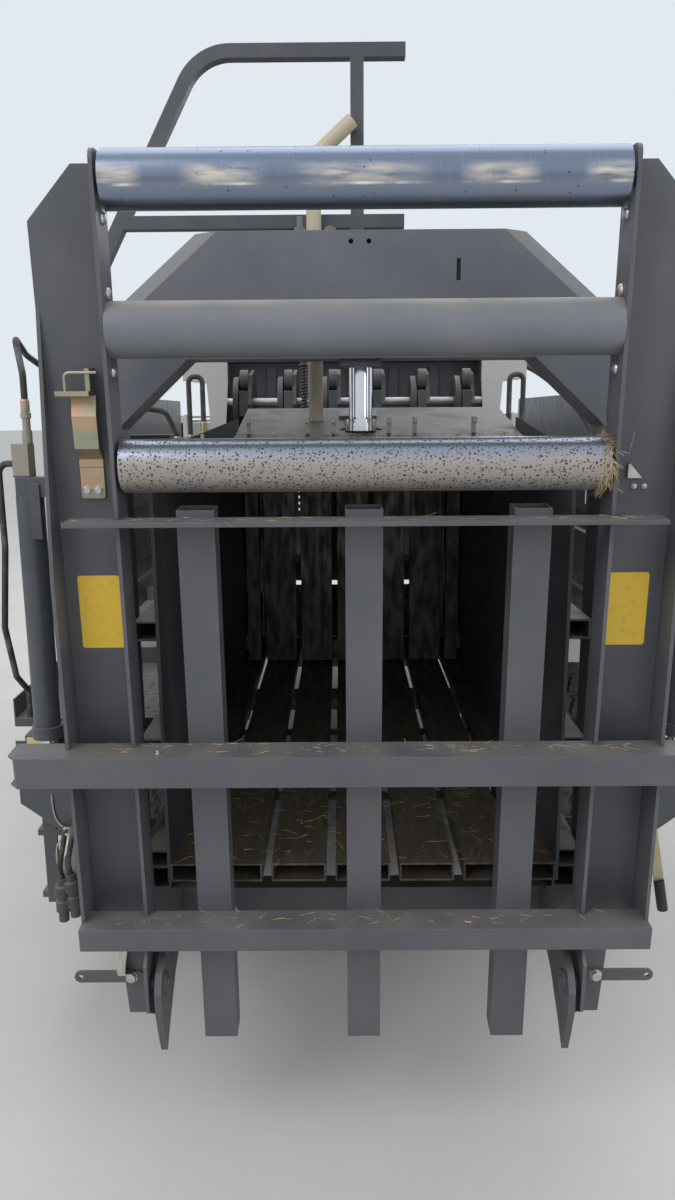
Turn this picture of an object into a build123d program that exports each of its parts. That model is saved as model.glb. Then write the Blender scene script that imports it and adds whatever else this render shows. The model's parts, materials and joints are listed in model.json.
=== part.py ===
from build123d import *
from math import cos, radians, sin
import os

# Large square baler with its bale chute folded up.
# Millimetres. +Z is up, +Y is the way it is towed, +X is its right hand side.
# The origin is on the ground, under the middle of the machine.

# Bale chamber
CHAMBER_WIDTH = 1200
CHAMBER_HEIGHT = 1240
CHAMBER_REAR = -4050
CHAMBER_FRONT = 900
FLOOR_TOP = 930
WALL = 10
ROOF_UNDER = FLOOR_TOP + CHAMBER_HEIGHT
HALF_CHAMBER = CHAMBER_WIDTH / 2
WALL_OUT = HALF_CHAMBER + WALL
TWINE_LANES = (-500, -300, -100, 100, 300, 500)

# Chassis rails beside the chamber floor
RAIL_INNER = 640
RAIL_WIDTH = 80
RAIL_HEIGHT = 160
RAIL_TOP = 900
RAIL_WALL = 8
RAIL_OUTER = RAIL_INNER + RAIL_WIDTH
RAIL_BOTTOM = RAIL_TOP - RAIL_HEIGHT
RAIL_REAR = -3860
RAIL_FRONT = 2450

# Chute hinge and the chute's own frame: local z runs up along the folded chute,
# local y points to the chamber, and the whole leans back a little.
CHUTE_PIVOT_Y = -4200
CHUTE_PIVOT_Z = 620
CHUTE_LEAN = 3.8
CHUTE_PIN = 40
PIN_FIT = 0.05
CURVED_GAP = 0.5
DECK = 110
CHUTE_SHEET = 10
CHUTE_INNER = 640
MEMBER_TOP_HALF = 838
MEMBER_MID_HALF = 828
MEMBER_FOOT_HALF = 745
MEMBER_BOTTOM = -190
MEMBER_TOP = 2285
MEMBER_CORNER = 130
FLANGE_TOP = 2305
STRAP_SPAN = (688, 908)
STRAP_Z = -52
STRAP_HEIGHT = 40
STRAP_HOLE = 16
FLANGE_DEPTH = 110
ROOT_FLANGE_DEPTH = 170
OUTER_FLANGE_TOP = 1950
OUTER_FLANGE_FULL = 1250
SLAT_WIDTH = 100
SLAT_DEPTH = 80
SLAT_WALL = 5
SLAT_PLACES = (-445, 0, 445)
SLAT_BOTTOM = -222
SLAT_TOP = 1437
SLAT_BACK = DECK - SLAT_DEPTH

# The three cross pieces behind the slats: height above the pivot of the middle,
# height, depth and half length of each.
BUMPER_Z, BUMPER_HEIGHT, BUMPER_DEPTH, BUMPER_HALF = 730, 90, 100, 980
LOWER_BEAM_Z, LOWER_BEAM_HEIGHT, LOWER_BEAM_DEPTH, LOWER_BEAM_HALF = 195, 70, 95, 828
BEAM_WALL = 6
BUMPER_CHAMFER = 24
FLAT_Z, FLAT_DEPTH, FLAT_HEIGHT, FLAT_HALF = 1407, 80, 12, 775

# Rollers and the fixed tube between them
ROLLER_DIAMETER = 140
ROLLER_PROUD = 20
ROLLER_GAP = 10
ROLLER_SHELL = 8
ROLLER_AXLE = 50
ROLLER_Y = DECK + ROLLER_PROUD - ROLLER_DIAMETER / 2
LOW_ROLLER_Z = 1551
MID_TUBE_Z = 1893
TOP_ROLLER_Z = 2240
MID_TUBE_DIAMETER = 140
MID_TUBE_WALL = 6


# Cross members and floor
CROSS_MEMBERS = (-3450, -2750, -1000, 760, 1560, RAIL_FRONT - 80)
CROSS_WIDTH = 80
CROSS_TOP = 870
FLOOR_SHEET = 6
SLOT = 30
REAR_BEAM_BOTTOM = 650
HINGE_PLATE = 20
HINGE_PLATE_X = 600

# Chamber ribs and roof
ROOF_RAIL = 50
RIB = 60
RIB_OUT = 680
WALL_RIBS = (RAIL_TOP, RAIL_TOP + 370, RAIL_TOP + 740, ROOF_UNDER - RIB)
WALL_POSTS = (-3700, -2760, -1200, 400)

# Wheels on the two bogie beams
WHEEL_RADIUS = 600
TYRE_WIDTH = 480
RIM_RADIUS = 286
RIM_HOLES = 10
WHEEL_X = 1025
WHEEL_Y = {"rear": -2050, "front": -750}
STUB_AXLE = 76
HUB_FACE_X = 1110
BOGIE_X = (660, 740)
CROSS_AXLE = 130

# Density portal, its cylinders and the roof beam
PORTAL_Y = (-3930, -3770)
PORTAL_SHEET = 12
PORTAL_HALF = 860
PORTAL_TOP_HALF = 475
PORTAL_RISE = 240
PORTAL_UNDER = ROOF_UNDER + ROOF_RAIL + PORTAL_RISE
PORTAL_DEEP = 350
PORTAL_TOP = PORTAL_UNDER + PORTAL_DEEP
PORTAL_SHOULDER = PORTAL_TOP - 330
PORTAL_BAND = 44
DENSITY_ROD = 70
BARREL = 118
SIDE_CYLINDER_X = 1020
SIDE_CYLINDER_TOP = ROOF_UNDER - 110
SIDE_CYLINDER_LENGTH = 780
SIDE_CYLINDER_Z = (SIDE_CYLINDER_TOP - SIDE_CYLINDER_LENGTH, SIDE_CYLINDER_TOP)
SIDE_ROD_OUT = 130
ROOF_BEAM_Y = (-3950, -3500)
ROOF_BEAM_HEIGHT = 102
ROOF_BEAM_LIP = 12
ROOF_BEAM_X = (-375, 475)
GUSSET_TIPS = (-559, 593)
GUSSET_HEIGHT = 70
GUSSET_SLOT = (-486, 24)
HOOK_PLACES = (-332, -158, -82, 82, 158, 332)

# Plunger, knotters and needles
PLUNGER_Y = (-1750, -900)
PLUNGER_GAP = 15
KNOTTER_Y = -2400
KNOTTER_TABLE_Y = (-2640, -2060)
KNOTTER_SHAFT = 42
KNOTTER_RISE = 137
KNOTTER_SHAFT_Z = ROOF_UNDER + ROOF_RAIL + KNOTTER_RISE
YOKE_PIVOT = (-2000, 1300)
YOKE_TUBE = 96
YOKE_X = (745, 765)
NEEDLE_RADIUS = 1077
NEEDLE_ANGLES = (205, 240)

# Drive line
GEARBOX_Y = (1300, 1840)
GEARBOX_Z = (1000, 1750)
GEARBOX_HALF = 290
FLYWHEEL_Y = (2230, 2390)
FLYWHEEL_Z = 1330
FLYWHEEL_RADIUS = 420
FLYWHEEL_RIM = 70
FLYWHEEL_WINDOWS = 6
FLYWHEEL_SHAFT = 80
FLYWHEEL_GAP = 25
GUARD_SHEET = 6
PTO_END_Y = 4040
PTO_END_Z = 930
PTO_BORE = 35
PTO_BORE_DEPTH = 70

# Drawbar, towing eye and parking jack
HITCH_Z = 620
HEAD_Y = (3850, 4150)
EYE_Y = 4290
EYE_RADIUS = 80
EYE_BORE = 50
EYE_HEIGHT = 60
JACK_Y = 3150
JACK_TUBE = 110
JACK_WALL = 8
JACK_GAP = 0.3
JACK_TUBE_Z = (380, 960)
JACK_LEG_TOP = 600
JACK_BRIDGE_HALF = 330
FOOT_PLATE = 14
FOOT_HALF = 130

# Hood, shields and twine boxes
SHEET = 6
HOOD_SHEET = 6
HOOD_REAR = 900
HOOD_FRONT = 2160
HOOD_TOP = 2420
GRILLE_ROWS = 5
MUDGUARD_Z = 1250
SHIELD_X = 1190
SHIELD_Y = (-2900, -180)
SHIELD_TOP = 2400
TWINE_BOX_Y = (-100, 2060)
TWINE_BOX_Z = (1250, 2250)
DOOR_X = 1205
DOOR_GAP = 14
DOOR_HINGE_Z = 2290
DOOR_FOOT = 1080
HINGE_ROD = 16
BEAD_DEPTH = 12
BEAD_HEIGHT = 110
SHIELD_BEADS = (200, 500, 800)
SHIELD_VENTS = 7
MUDGUARD_LIP = 30
DOOR_SHEET = 8
DOOR_BELLY = 22
DOOR_BEADS = (-480, -660, -840)
DOOR_GRIP = 140

# Cover ahead of the knotters and the pale panels beside them
COVER_Y = -2066
COVER_TOP = ROOF_UNDER + ROOF_RAIL + 390
PANEL_Y = -2660
PANEL_SPAN = (545, 738)

# Hoses that the frame holds
HOSE = 20
HOSE_LOOP_Y = -3000
HOSE_LOOP_TOP = ROOF_UNDER + 280
HOSE_LOOP_X = 658

# Feeder duct
DUCT_MOUTH = (-800, -60)
DUCT_FRONT_Y = 560
DUCT_FRONT_Z = (330, 660)
DUCT_HALF = 568
DUCT_SHEET = 8

# Pick-up, raised as it is for the road
PICKUP_PIVOT = (300, 700)
PICKUP_PIN = 50
PICKUP_ARM_X = (664, 684)
PICKUP_HALF = 1050
REEL_Y = 960
REEL_Z = 450
REEL_SHAFT = 46
REEL_BARS = 5
REEL_BAR_RADIUS = 120
TINE_RADIUS = 215
STRIPPERS = 20
STRIPPER_RADIUS = 172
GUARD_BARS = 11
GAUGE_X = (1120, 1240)
GAUGE_RADIUS = 185
GAUGE_DROP = -140
GAUGE_AXLE = 40

# Handrail, platform and ladder
HANDRAIL_Y = -3650
HANDRAIL_RISE = 1145
HANDRAIL_TOP = ROOF_UNDER + ROOF_RAIL + HANDRAIL_RISE
HANDRAIL_DROP = 480
HANDRAIL_LOW = HANDRAIL_TOP - HANDRAIL_DROP
HANDRAIL_X = 860
HANDRAIL_CORNER = -480
HANDRAIL_BEND = HANDRAIL_TOP - 700
HANDRAIL_WALL = 4
HANDRAIL_POST = -5
GOOSE_NECK_X = -139
GOOSE_NECK_BEND = HANDRAIL_TOP - 305
HANDRAIL_END = 140
HANDRAIL_TUBE = 40
GOOSE_NECK = 46
CLAMP_GAP = 0.3
BULKHEAD_Y = -3670
LAMP_Z = 1085
PLATFORM_X = (RIB_OUT, 1200)
PLATFORM_BEAM = 50
PLATFORM_Y = (-3660, -2960)
PLATFORM_Z = 1245
LADDER_Y = (-3500, -3080)
LADDER_FOOT = 480
LADDER_TREADS = 3


def block(x, y, z):
    """A bar that fills three spans, each given as (low, high)."""
    corner = (Align.MIN, Align.MIN, Align.MIN)
    return Pos(x[0], y[0], z[0]) * Box(x[1] - x[0], y[1] - y[0], z[1] - z[0], align=corner)


def tube(x, y, z, wall, along):
    """A rectangular tube: a block with its inside cut out along one axis."""
    spans = {"x": x, "y": y, "z": z}
    inside = {axis: (low + wall, high - wall) for axis, (low, high) in spans.items()}
    inside[along] = (spans[along][0] - 1, spans[along][1] + 1)
    return block(x, y, z) - block(inside["x"], inside["y"], inside["z"])


def plate_yz(outline, x):
    """An upright lengthwise plate: an outline of (y, z) points between two x."""
    plane = Plane(origin=(x[0], 0, 0), x_dir=(0, 1, 0), z_dir=(1, 0, 0))
    return extrude(plane * Polygon(*outline, align=None), amount=x[1] - x[0], dir=(1, 0, 0))


def plate_xz(outline, y):
    """An upright crosswise plate: an outline of (x, z) points between two y."""
    plane = Plane(origin=(0, y[1], 0), x_dir=(1, 0, 0), z_dir=(0, -1, 0))
    return extrude(plane * Polygon(*outline, align=None), amount=y[1] - y[0], dir=(0, -1, 0))


def plate_xy(outline, z):
    """A level plate: an outline of (x, y) points between two z."""
    plane = Plane(origin=(0, 0, z[0]))
    return extrude(plane * Polygon(*outline, align=None), amount=z[1] - z[0], dir=(0, 0, 1))


def rod(start, end, diameter, bore=0):
    """A round bar between two points, or a pipe if it has a bore."""
    axis = Vector(end) - Vector(start)
    place = Plane(origin=start, z_dir=axis).location
    foot = (Align.CENTER, Align.CENTER, Align.MIN)
    bar = place * Cylinder(diameter / 2, axis.length, align=foot)
    if bore:
        bar -= place * Cylinder(bore / 2, axis.length, align=foot)
    return bar


def rod_x(x, y, z, diameter, bore=0):
    """A round bar along X between the two values of x."""
    return rod((x[0], y, z), (x[1], y, z), diameter, bore)


def bent_bar(points, diameter, radius):
    """A round bar along straight runs joined by arcs of one radius."""
    path = FilletPolyline(*points, radius=radius)
    return sweep(Plane(origin=path @ 0, z_dir=path % 0) * Circle(diameter / 2), path=path)


def both_sides(piece):
    """The right hand piece and its mirror image on the left."""
    return [piece, mirror(piece, about=Plane.YZ)]


def all_on_both_sides(pieces):
    """The right hand pieces and the mirror image of each."""
    return [solid for piece in pieces for solid in both_sides(piece)]


def turned(ring, axis_point, axis_direction):
    """Places a wheel made about its own Z axis at a point, along a direction."""
    return Plane(origin=axis_point, z_dir=axis_direction).location * ring


def save(name, *pieces):
    """Writes one sub-part: its pieces touch or stand apart, and are one node."""
    export_step(Compound(children=[solid for piece in pieces for solid in piece.solids()]),
                f"parts/{name}.step")


CHUTE_PLACE = Location((0, CHUTE_PIVOT_Y, CHUTE_PIVOT_Z), (CHUTE_LEAN, 0, 0))


def beam_span(middle, height):
    """The (low, high) heights of a cross piece of the chute."""
    return (middle - height / 2, middle + height / 2)


def chute_cross_pieces():
    """The bumper and the lower beam as square tubes, and the cross flat above."""
    bumper = tube((-BUMPER_HALF, BUMPER_HALF), (SLAT_BACK - BUMPER_DEPTH, SLAT_BACK),
                  beam_span(BUMPER_Z, BUMPER_HEIGHT), BEAM_WALL, "x")
    lower = tube((-LOWER_BEAM_HALF, LOWER_BEAM_HALF), (SLAT_BACK - LOWER_BEAM_DEPTH, SLAT_BACK),
                 beam_span(LOWER_BEAM_Z, LOWER_BEAM_HEIGHT), BEAM_WALL, "x")
    back = SLAT_BACK - BUMPER_DEPTH
    corner = [(BUMPER_HALF - BUMPER_CHAMFER, back), (BUMPER_HALF, back + BUMPER_CHAMFER), (BUMPER_HALF, back)]
    cut = plate_xy(corner, beam_span(BUMPER_Z, BUMPER_HEIGHT + 2))
    bumper -= cut
    bumper -= mirror(cut, about=Plane.YZ)
    flat = block((-FLAT_HALF, FLAT_HALF), (SLAT_BACK - FLAT_DEPTH, SLAT_BACK), (FLAT_Z, FLAT_Z + FLAT_HEIGHT))
    return bumper, lower, flat


def notches():
    """The room that the cross pieces take in the side members."""
    spans = (
        (BUMPER_HALF, BUMPER_DEPTH, beam_span(BUMPER_Z, BUMPER_HEIGHT)),
        (BUMPER_HALF, LOWER_BEAM_DEPTH, beam_span(LOWER_BEAM_Z, LOWER_BEAM_HEIGHT)),
        (FLAT_HALF, FLAT_DEPTH, (FLAT_Z, FLAT_Z + FLAT_HEIGHT)),
    )
    return [block((-half, half), (SLAT_BACK - depth, SLAT_BACK), z) for half, depth, z in spans]


def chute_side_right():
    """One side member: a wide web on the bale side and two flanges behind it."""
    flange_back = DECK - FLANGE_DEPTH
    root_back = DECK - ROOT_FLANGE_DEPTH
    root_top = LOWER_BEAM_Z - LOWER_BEAM_HEIGHT / 2
    shoulder = MEMBER_TOP - MEMBER_CORNER
    web = plate_xz(
        [
            (CHUTE_INNER, MEMBER_BOTTOM),
            (MEMBER_FOOT_HALF, MEMBER_BOTTOM),
            (MEMBER_FOOT_HALF + 12, root_top - 120),
            (MEMBER_MID_HALF, root_top),
            (MEMBER_TOP_HALF, shoulder),
            (MEMBER_TOP_HALF - MEMBER_CORNER + 12, MEMBER_TOP),
            (CHUTE_INNER, MEMBER_TOP),
        ],
        (DECK - CHUTE_SHEET, DECK),
    )
    inner = plate_yz(
        [
            (DECK, MEMBER_BOTTOM),
            (DECK, FLANGE_TOP),
            (flange_back, FLANGE_TOP),
            (flange_back, root_top),
            (root_back, root_top - 60),
            (root_back, -60),
            (root_back + 50, -100),
            (DECK - 30, MEMBER_BOTTOM),
        ],
        (CHUTE_INNER, CHUTE_INNER + CHUTE_SHEET),
    )
    top_corners = inner.edges().filter_by(Axis.X).sort_by(Axis.Z)[-2:]
    inner = fillet(top_corners, 28)
    edge_strip = plate_xz(
        [
            (MEMBER_MID_HALF - CHUTE_SHEET, root_top),
            (MEMBER_MID_HALF, root_top),
            (MEMBER_TOP_HALF, shoulder),
            (MEMBER_TOP_HALF - CHUTE_SHEET, shoulder),
        ],
        (root_back, DECK),
    )
    taper = plate_yz(
        [
            (DECK, root_top),
            (DECK, OUTER_FLANGE_TOP),
            (DECK - CHUTE_SHEET, OUTER_FLANGE_TOP),
            (flange_back, OUTER_FLANGE_FULL),
            (flange_back - 30, root_top),
        ],
        (MEMBER_FOOT_HALF, MEMBER_TOP_HALF + 20),
    )
    member = web + inner + (edge_strip & taper) + strap()
    for room in notches():
        member -= room
    for height in (LOW_ROLLER_Z, TOP_ROLLER_Z):
        member -= rod_x((600, 700), ROLLER_Y, height, ROLLER_AXLE + 2 * PIN_FIT)
    member -= rod_x((600, 700), 0, 0, CHUTE_PIN + 2 * PIN_FIT)
    return member


def strap():
    """The flat bar with a round end and a hole, bolted behind the web's foot."""
    back = DECK - CHUTE_SHEET
    outline = Pos((STRAP_SPAN[0] + STRAP_SPAN[1]) / 2, STRAP_Z) * SlotOverall(
        STRAP_SPAN[1] - STRAP_SPAN[0], STRAP_HEIGHT)
    hole = Pos(STRAP_SPAN[1] - STRAP_HEIGHT / 2, STRAP_Z) * Circle(STRAP_HOLE / 2)
    plane = Plane(origin=(0, back, 0), x_dir=(1, 0, 0), z_dir=(0, -1, 0))
    return extrude(plane * (outline - hole), amount=8, dir=(0, -1, 0))


def chute_slats():
    """Three square tubes that the bales slide on, open at their ends."""
    return [
        tube((x - SLAT_WIDTH / 2, x + SLAT_WIDTH / 2), (SLAT_BACK, DECK),
             (SLAT_BOTTOM, SLAT_TOP), SLAT_WALL, "z")
        for x in SLAT_PLACES
    ]


def roller(height):
    """A steel roller: a pipe with end discs on a through axle."""
    half = CHUTE_INNER - ROLLER_GAP
    shell = rod_x((-half, half), ROLLER_Y, height, ROLLER_DIAMETER, ROLLER_DIAMETER - 2 * ROLLER_SHELL)
    axle_half = CHUTE_INNER + CHUTE_SHEET + 6
    axle = rod_x((-axle_half, axle_half), ROLLER_Y, height, ROLLER_AXLE)
    discs = [
        rod_x((x, x + ROLLER_SHELL), ROLLER_Y, height, ROLLER_DIAMETER - ROLLER_SHELL)
        for x in (-half + 4, half - 4 - ROLLER_SHELL)
    ]
    return shell + axle + discs[0] + discs[1]


def chute_mid_tube():
    """The painted pipe welded between the inner flanges."""
    return rod_x((-CHUTE_INNER, CHUTE_INNER), ROLLER_Y, MID_TUBE_Z, MID_TUBE_DIAMETER,
                 MID_TUBE_DIAMETER - 2 * MID_TUBE_WALL)


def chute_latch():
    """The plated transport latch inside the left hand side member."""
    web_back = DECK - CHUTE_SHEET
    strap = plate_yz(
        [
            (web_back, 1545),
            (web_back, 1575),
            (web_back - 30, 1600),
            (web_back - 36, 1680),
            (web_back - 24, 1730),
            (web_back - 30, 1732),
            (web_back - 44, 1680),
            (web_back - 38, 1596),
            (web_back - 8, 1566),
            (web_back - 8, 1545),
        ],
        (-756, -692),
    )
    pad = block((-786, -700), (web_back - 70, web_back - 24), (1732, 1744))
    hook = bent_bar([(-680, web_back - 52, 1790), (-764, web_back - 52, 1790),
                     (-764, web_back - 52, 1744)], 8, 14)
    post = block((-712, -700), (web_back - 50, web_back), (1732, 1800))
    return strap + pad + hook + post


def build_chute():
    bumper, lower, flat = chute_cross_pieces()
    right = chute_side_right()
    left = mirror(right, about=Plane.YZ)
    pieces = {
        "chute_side_right": [right],
        "chute_side_left": [left],
        "chute_slats": chute_slats(),
        "chute_beams": [bumper, lower, flat],
        "chute_mid_tube": [chute_mid_tube()],
        "chute_latch": chute_latch(),
        "chute_roller_low": [roller(LOW_ROLLER_Z)],
        "chute_roller_top": [roller(TOP_ROLLER_Z)],
    }
    for name, solids in pieces.items():
        save(name, *[CHUTE_PLACE * solid for solid in solids])


def chassis_rails():
    """Two long box rails and the cross members that the chamber floor lies on."""
    z = (RAIL_BOTTOM, RAIL_TOP)
    rail = tube((RAIL_INNER, RAIL_OUTER), (RAIL_REAR, RAIL_FRONT), z, RAIL_WALL, "y")
    frame = rail + mirror(rail, about=Plane.YZ)
    for y in CROSS_MEMBERS:
        frame += tube((-RAIL_INNER, RAIL_INNER), (y, y + CROSS_WIDTH),
                      (CROSS_TOP - CROSS_WIDTH, CROSS_TOP), RAIL_WALL, "x")
    deck = block((-RAIL_INNER, RAIL_INNER), (FLYWHEEL_Y[0] - 60, RAIL_FRONT), (CROSS_TOP, RAIL_TOP))
    return frame + deck


def hinge_bracket():
    """The pointed hinge plate on the right, round the chute's pin."""
    y, z = CHUTE_PIVOT_Y, CHUTE_PIVOT_Z
    outline = [
        (RAIL_REAR, RAIL_BOTTOM),
        (y + 120, z + 110),
        (y, z + 85),
        (y - 50, z + 60),
        (y - 75, z + 10),
        (y - 72, z - 60),
        (y - 45, z - 150),
        (y - 20, z - 215),
        (y + 45, z - 150),
        (y + 150, z - 60),
        (RAIL_REAR, REAR_BEAM_BOTTOM),
    ]
    return plate_yz(outline, (HINGE_PLATE_X, HINGE_PLATE_X + HINGE_PLATE))


def rear_cross_beam():
    """The beam across the rail ends, with the hinge plates and their pins."""
    beam = tube((-RAIL_OUTER, RAIL_OUTER), (RAIL_REAR, RAIL_REAR + CROSS_WIDTH),
                (REAR_BEAM_BOTTOM, RAIL_BOTTOM), RAIL_WALL, "x")
    pin = rod_x((HINGE_PLATE_X - 14, CHUTE_INNER + CHUTE_SHEET + 14), CHUTE_PIVOT_Y,
                CHUTE_PIVOT_Z, CHUTE_PIN)
    washer = rod_x((HINGE_PLATE_X - 8, HINGE_PLATE_X), CHUTE_PIVOT_Y, CHUTE_PIVOT_Z, CHUTE_PIN + 30)
    hinge = hinge_bracket() + pin + washer
    return beam + hinge + mirror(hinge, about=Plane.YZ)


def bogie():
    """The right hand bogie beam with its two stub axles."""
    mid = (WHEEL_Y["front"] + WHEEL_Y["rear"]) / 2
    reach = (WHEEL_Y["front"] - WHEEL_Y["rear"]) / 2 + 90
    z = WHEEL_RADIUS
    outline = [
        (mid - reach, z - 60),
        (mid - reach, z + 60),
        (mid - 260, z + 95),
        (mid + 260, z + 95),
        (mid + reach, z + 60),
        (mid + reach, z - 60),
        (mid + 260, z - 95),
        (mid - 260, z - 95),
    ]
    beam = plate_yz(outline, BOGIE_X)
    for y in WHEEL_Y.values():
        beam += rod_x((BOGIE_X[1], HUB_FACE_X), y, z, STUB_AXLE)
        beam += rod_x((BOGIE_X[1], BOGIE_X[1] + 30), y, z, STUB_AXLE + 60)
    hanger = plate_yz(
        [(mid - 320, RAIL_TOP - 40), (mid + 320, RAIL_TOP - 40), (mid + 110, z - 90), (mid - 110, z - 90)],
        (RAIL_INNER - 20, RAIL_INNER),
    )
    return beam + hanger + rod_x((0, BOGIE_X[0]), mid, z, CROSS_AXLE)


def axle_beams():
    """The cross axle, its hangers under the rails, the bogie beams and stub axles."""
    right = bogie()
    return right + mirror(right, about=Plane.YZ)


def chamber_floor():
    """Channels along the floor with a slot at each twine lane, open at the rear."""
    edges = [-HALF_CHAMBER] + list(TWINE_LANES) + [HALF_CHAMBER]
    rails = []
    for left, right in zip(edges[:-1], edges[1:]):
        x0 = left if left == -HALF_CHAMBER else left + SLOT / 2
        x1 = right if right == HALF_CHAMBER else right - SLOT / 2
        rails.append(tube((x0, x1), (CHAMBER_REAR, DUCT_MOUTH[0]), (CROSS_TOP, FLOOR_TOP), FLOOR_SHEET, "y"))
    front = block((-HALF_CHAMBER, HALF_CHAMBER), (DUCT_MOUTH[1], CHAMBER_FRONT), (CROSS_TOP, CROSS_TOP + FLOOR_SHEET))
    return rails + [front]


def chamber_wall():
    """The right hand wall of the chamber with its long ribs and the posts between."""
    top = ROOF_UNDER + ROOF_RAIL
    wall = block((HALF_CHAMBER, WALL_OUT), (CHAMBER_REAR, CHAMBER_FRONT), (CROSS_TOP, top))
    ribs = [tube((WALL_OUT, RIB_OUT), (CHAMBER_REAR + 30, CHAMBER_FRONT), (z, z + RIB), FLOOR_SHEET, "y")
            for z in WALL_RIBS]
    posts = []
    for y in WALL_POSTS:
        lows = [z + RIB for z in WALL_RIBS]
        highs = list(WALL_RIBS[1:]) + [top]
        posts += [block((WALL_OUT, RIB_OUT), (y, y + WALL), span) for span in zip(lows, highs)]
    return [wall] + ribs + posts


def chamber_roof():
    """Roof channels over the rear of the chamber and the roof sheet ahead of them."""
    edges = [-HALF_CHAMBER] + list(TWINE_LANES) + [HALF_CHAMBER]
    z = (ROOF_UNDER, ROOF_UNDER + ROOF_RAIL)
    rails = []
    for left, right in zip(edges[:-1], edges[1:]):
        x0 = left if left == -HALF_CHAMBER else left + SLOT / 2
        x1 = right if right == HALF_CHAMBER else right - SLOT / 2
        rails.append(tube((x0, x1), (CHAMBER_REAR + 60, KNOTTER_Y + 400), z, FLOOR_SHEET, "y"))
    sheet = block((-HALF_CHAMBER, HALF_CHAMBER), (KNOTTER_Y + 400, CHAMBER_FRONT), (z[1] - WALL, z[1]))
    return rails + [sheet]


def density_frame():
    """The portal round the rear of the chamber: folded plate, open to the front."""
    outer = [
        (-PORTAL_HALF, RAIL_BOTTOM),
        (-PORTAL_HALF, PORTAL_SHOULDER),
        (-PORTAL_TOP_HALF, PORTAL_TOP),
        (PORTAL_TOP_HALF, PORTAL_TOP),
        (PORTAL_HALF, PORTAL_SHOULDER),
        (PORTAL_HALF, RAIL_BOTTOM),
        (RAIL_OUTER, RAIL_BOTTOM),
        (RAIL_OUTER, PORTAL_UNDER - 200),
        (PORTAL_TOP_HALF + 30, PORTAL_UNDER),
        (-PORTAL_TOP_HALF - 30, PORTAL_UNDER),
        (-RAIL_OUTER, PORTAL_UNDER - 200),
        (-RAIL_OUTER, RAIL_BOTTOM),
    ]
    rear, front = PORTAL_Y
    plane = Plane(origin=(0, front, 0), x_dir=(1, 0, 0), z_dir=(0, -1, 0))
    ring = plane * Polygon(*outer, align=None)
    inset = offset(ring, amount=-PORTAL_SHEET, kind=Kind.INTERSECTION)
    frame = folded_edges(extrude(ring, amount=front - rear, dir=(0, -1, 0)))
    frame -= folded_edges(extrude(inset, amount=front - rear - PORTAL_SHEET, dir=(0, -1, 0)))
    slot_z = PORTAL_TOP - 108
    frame -= block((272, 284), (rear - 1, rear + PORTAL_SHEET + 1), (slot_z - 30, slot_z + 30))
    for x in (-28, 23):
        frame -= rod((x, rear - 1, PORTAL_TOP - 30), (x, rear + PORTAL_SHEET + 1, PORTAL_TOP - 30), 14)
    for x, height in ((-174, 44), (-87, 18)):
        frame += rod((x, rear + 40, PORTAL_TOP), (x, rear + 40, PORTAL_TOP + height), 16)
        nut = Plane(origin=(x, rear + 40, PORTAL_TOP)) * RegularPolygon(16, 6)
        frame += extrude(nut, amount=14, dir=(0, 0, 1))
    y = (rear + front) / 2
    return frame - rod((0, y, PORTAL_UNDER - 10), (0, y, PORTAL_UNDER + 30), BARREL + 2 * CURVED_GAP)


def folded_edges(solid):
    """Folds the portal's two slanting outer edges by a bevel on the rear side."""
    rear = solid.bounding_box().min.Y
    slanting = [
        edge for edge in solid.edges()
        if abs(edge.center().Y - rear) < 1
        and edge.center().Z > (PORTAL_SHOULDER + PORTAL_TOP) / 2 - 30
        and PORTAL_TOP_HALF + 60 < abs(edge.center().X) < PORTAL_HALF - 60
    ]
    return chamfer(slanting, PORTAL_BAND)


def middle_cylinder():
    """The barrel under the portal and its chrome rod down to the roof beam."""
    y = (PORTAL_Y[0] + PORTAL_Y[1]) / 2
    barrel = rod((0, y, PORTAL_UNDER - 22), (0, y, PORTAL_TOP - PORTAL_SHEET), BARREL)
    barrel += block((-62, 62), (y - 62, y + 62), (PORTAL_UNDER - 22, PORTAL_UNDER))
    seat = roof_beam_top(y)
    shaft = rod((0, y, seat + 34), (0, y, PORTAL_UNDER - 22), DENSITY_ROD)
    gland = rod((0, y, seat), (0, y, seat + 34), DENSITY_ROD + 26)
    return barrel, shaft + gland


def side_cylinder():
    """The right hand density cylinder with its lugs, port block and lever."""
    x, y = SIDE_CYLINDER_X, (PORTAL_Y[0] + PORTAL_Y[1]) / 2
    low, high = SIDE_CYLINDER_Z
    barrel = rod((x, y, low), (x, y, high), 84)
    barrel += rod((x, y, low), (x, y, low + 40), 98)
    for z in (high, low - SIDE_ROD_OUT - 60):
        barrel += block((PORTAL_HALF, x + 30), (y - 36, y + 36), (z, z + 60))
    barrel += block((x - 14, x + 36), (y - 30, y + 30), (high + 60, high + 160))
    barrel += rod((x - 6, y, high + 160), (x - 6, y, high + 200), 30)
    barrel += rod((x - 6, y, high + 200), (x - 6, y, high + 236), HOSE + 4)
    barrel += block((x - 44, x - 13), (y - 44, y - 36), (high - 128, high + 40))
    shaft = rod((x, y, low - SIDE_ROD_OUT), (x, y, low), 46)
    return barrel, shaft


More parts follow.
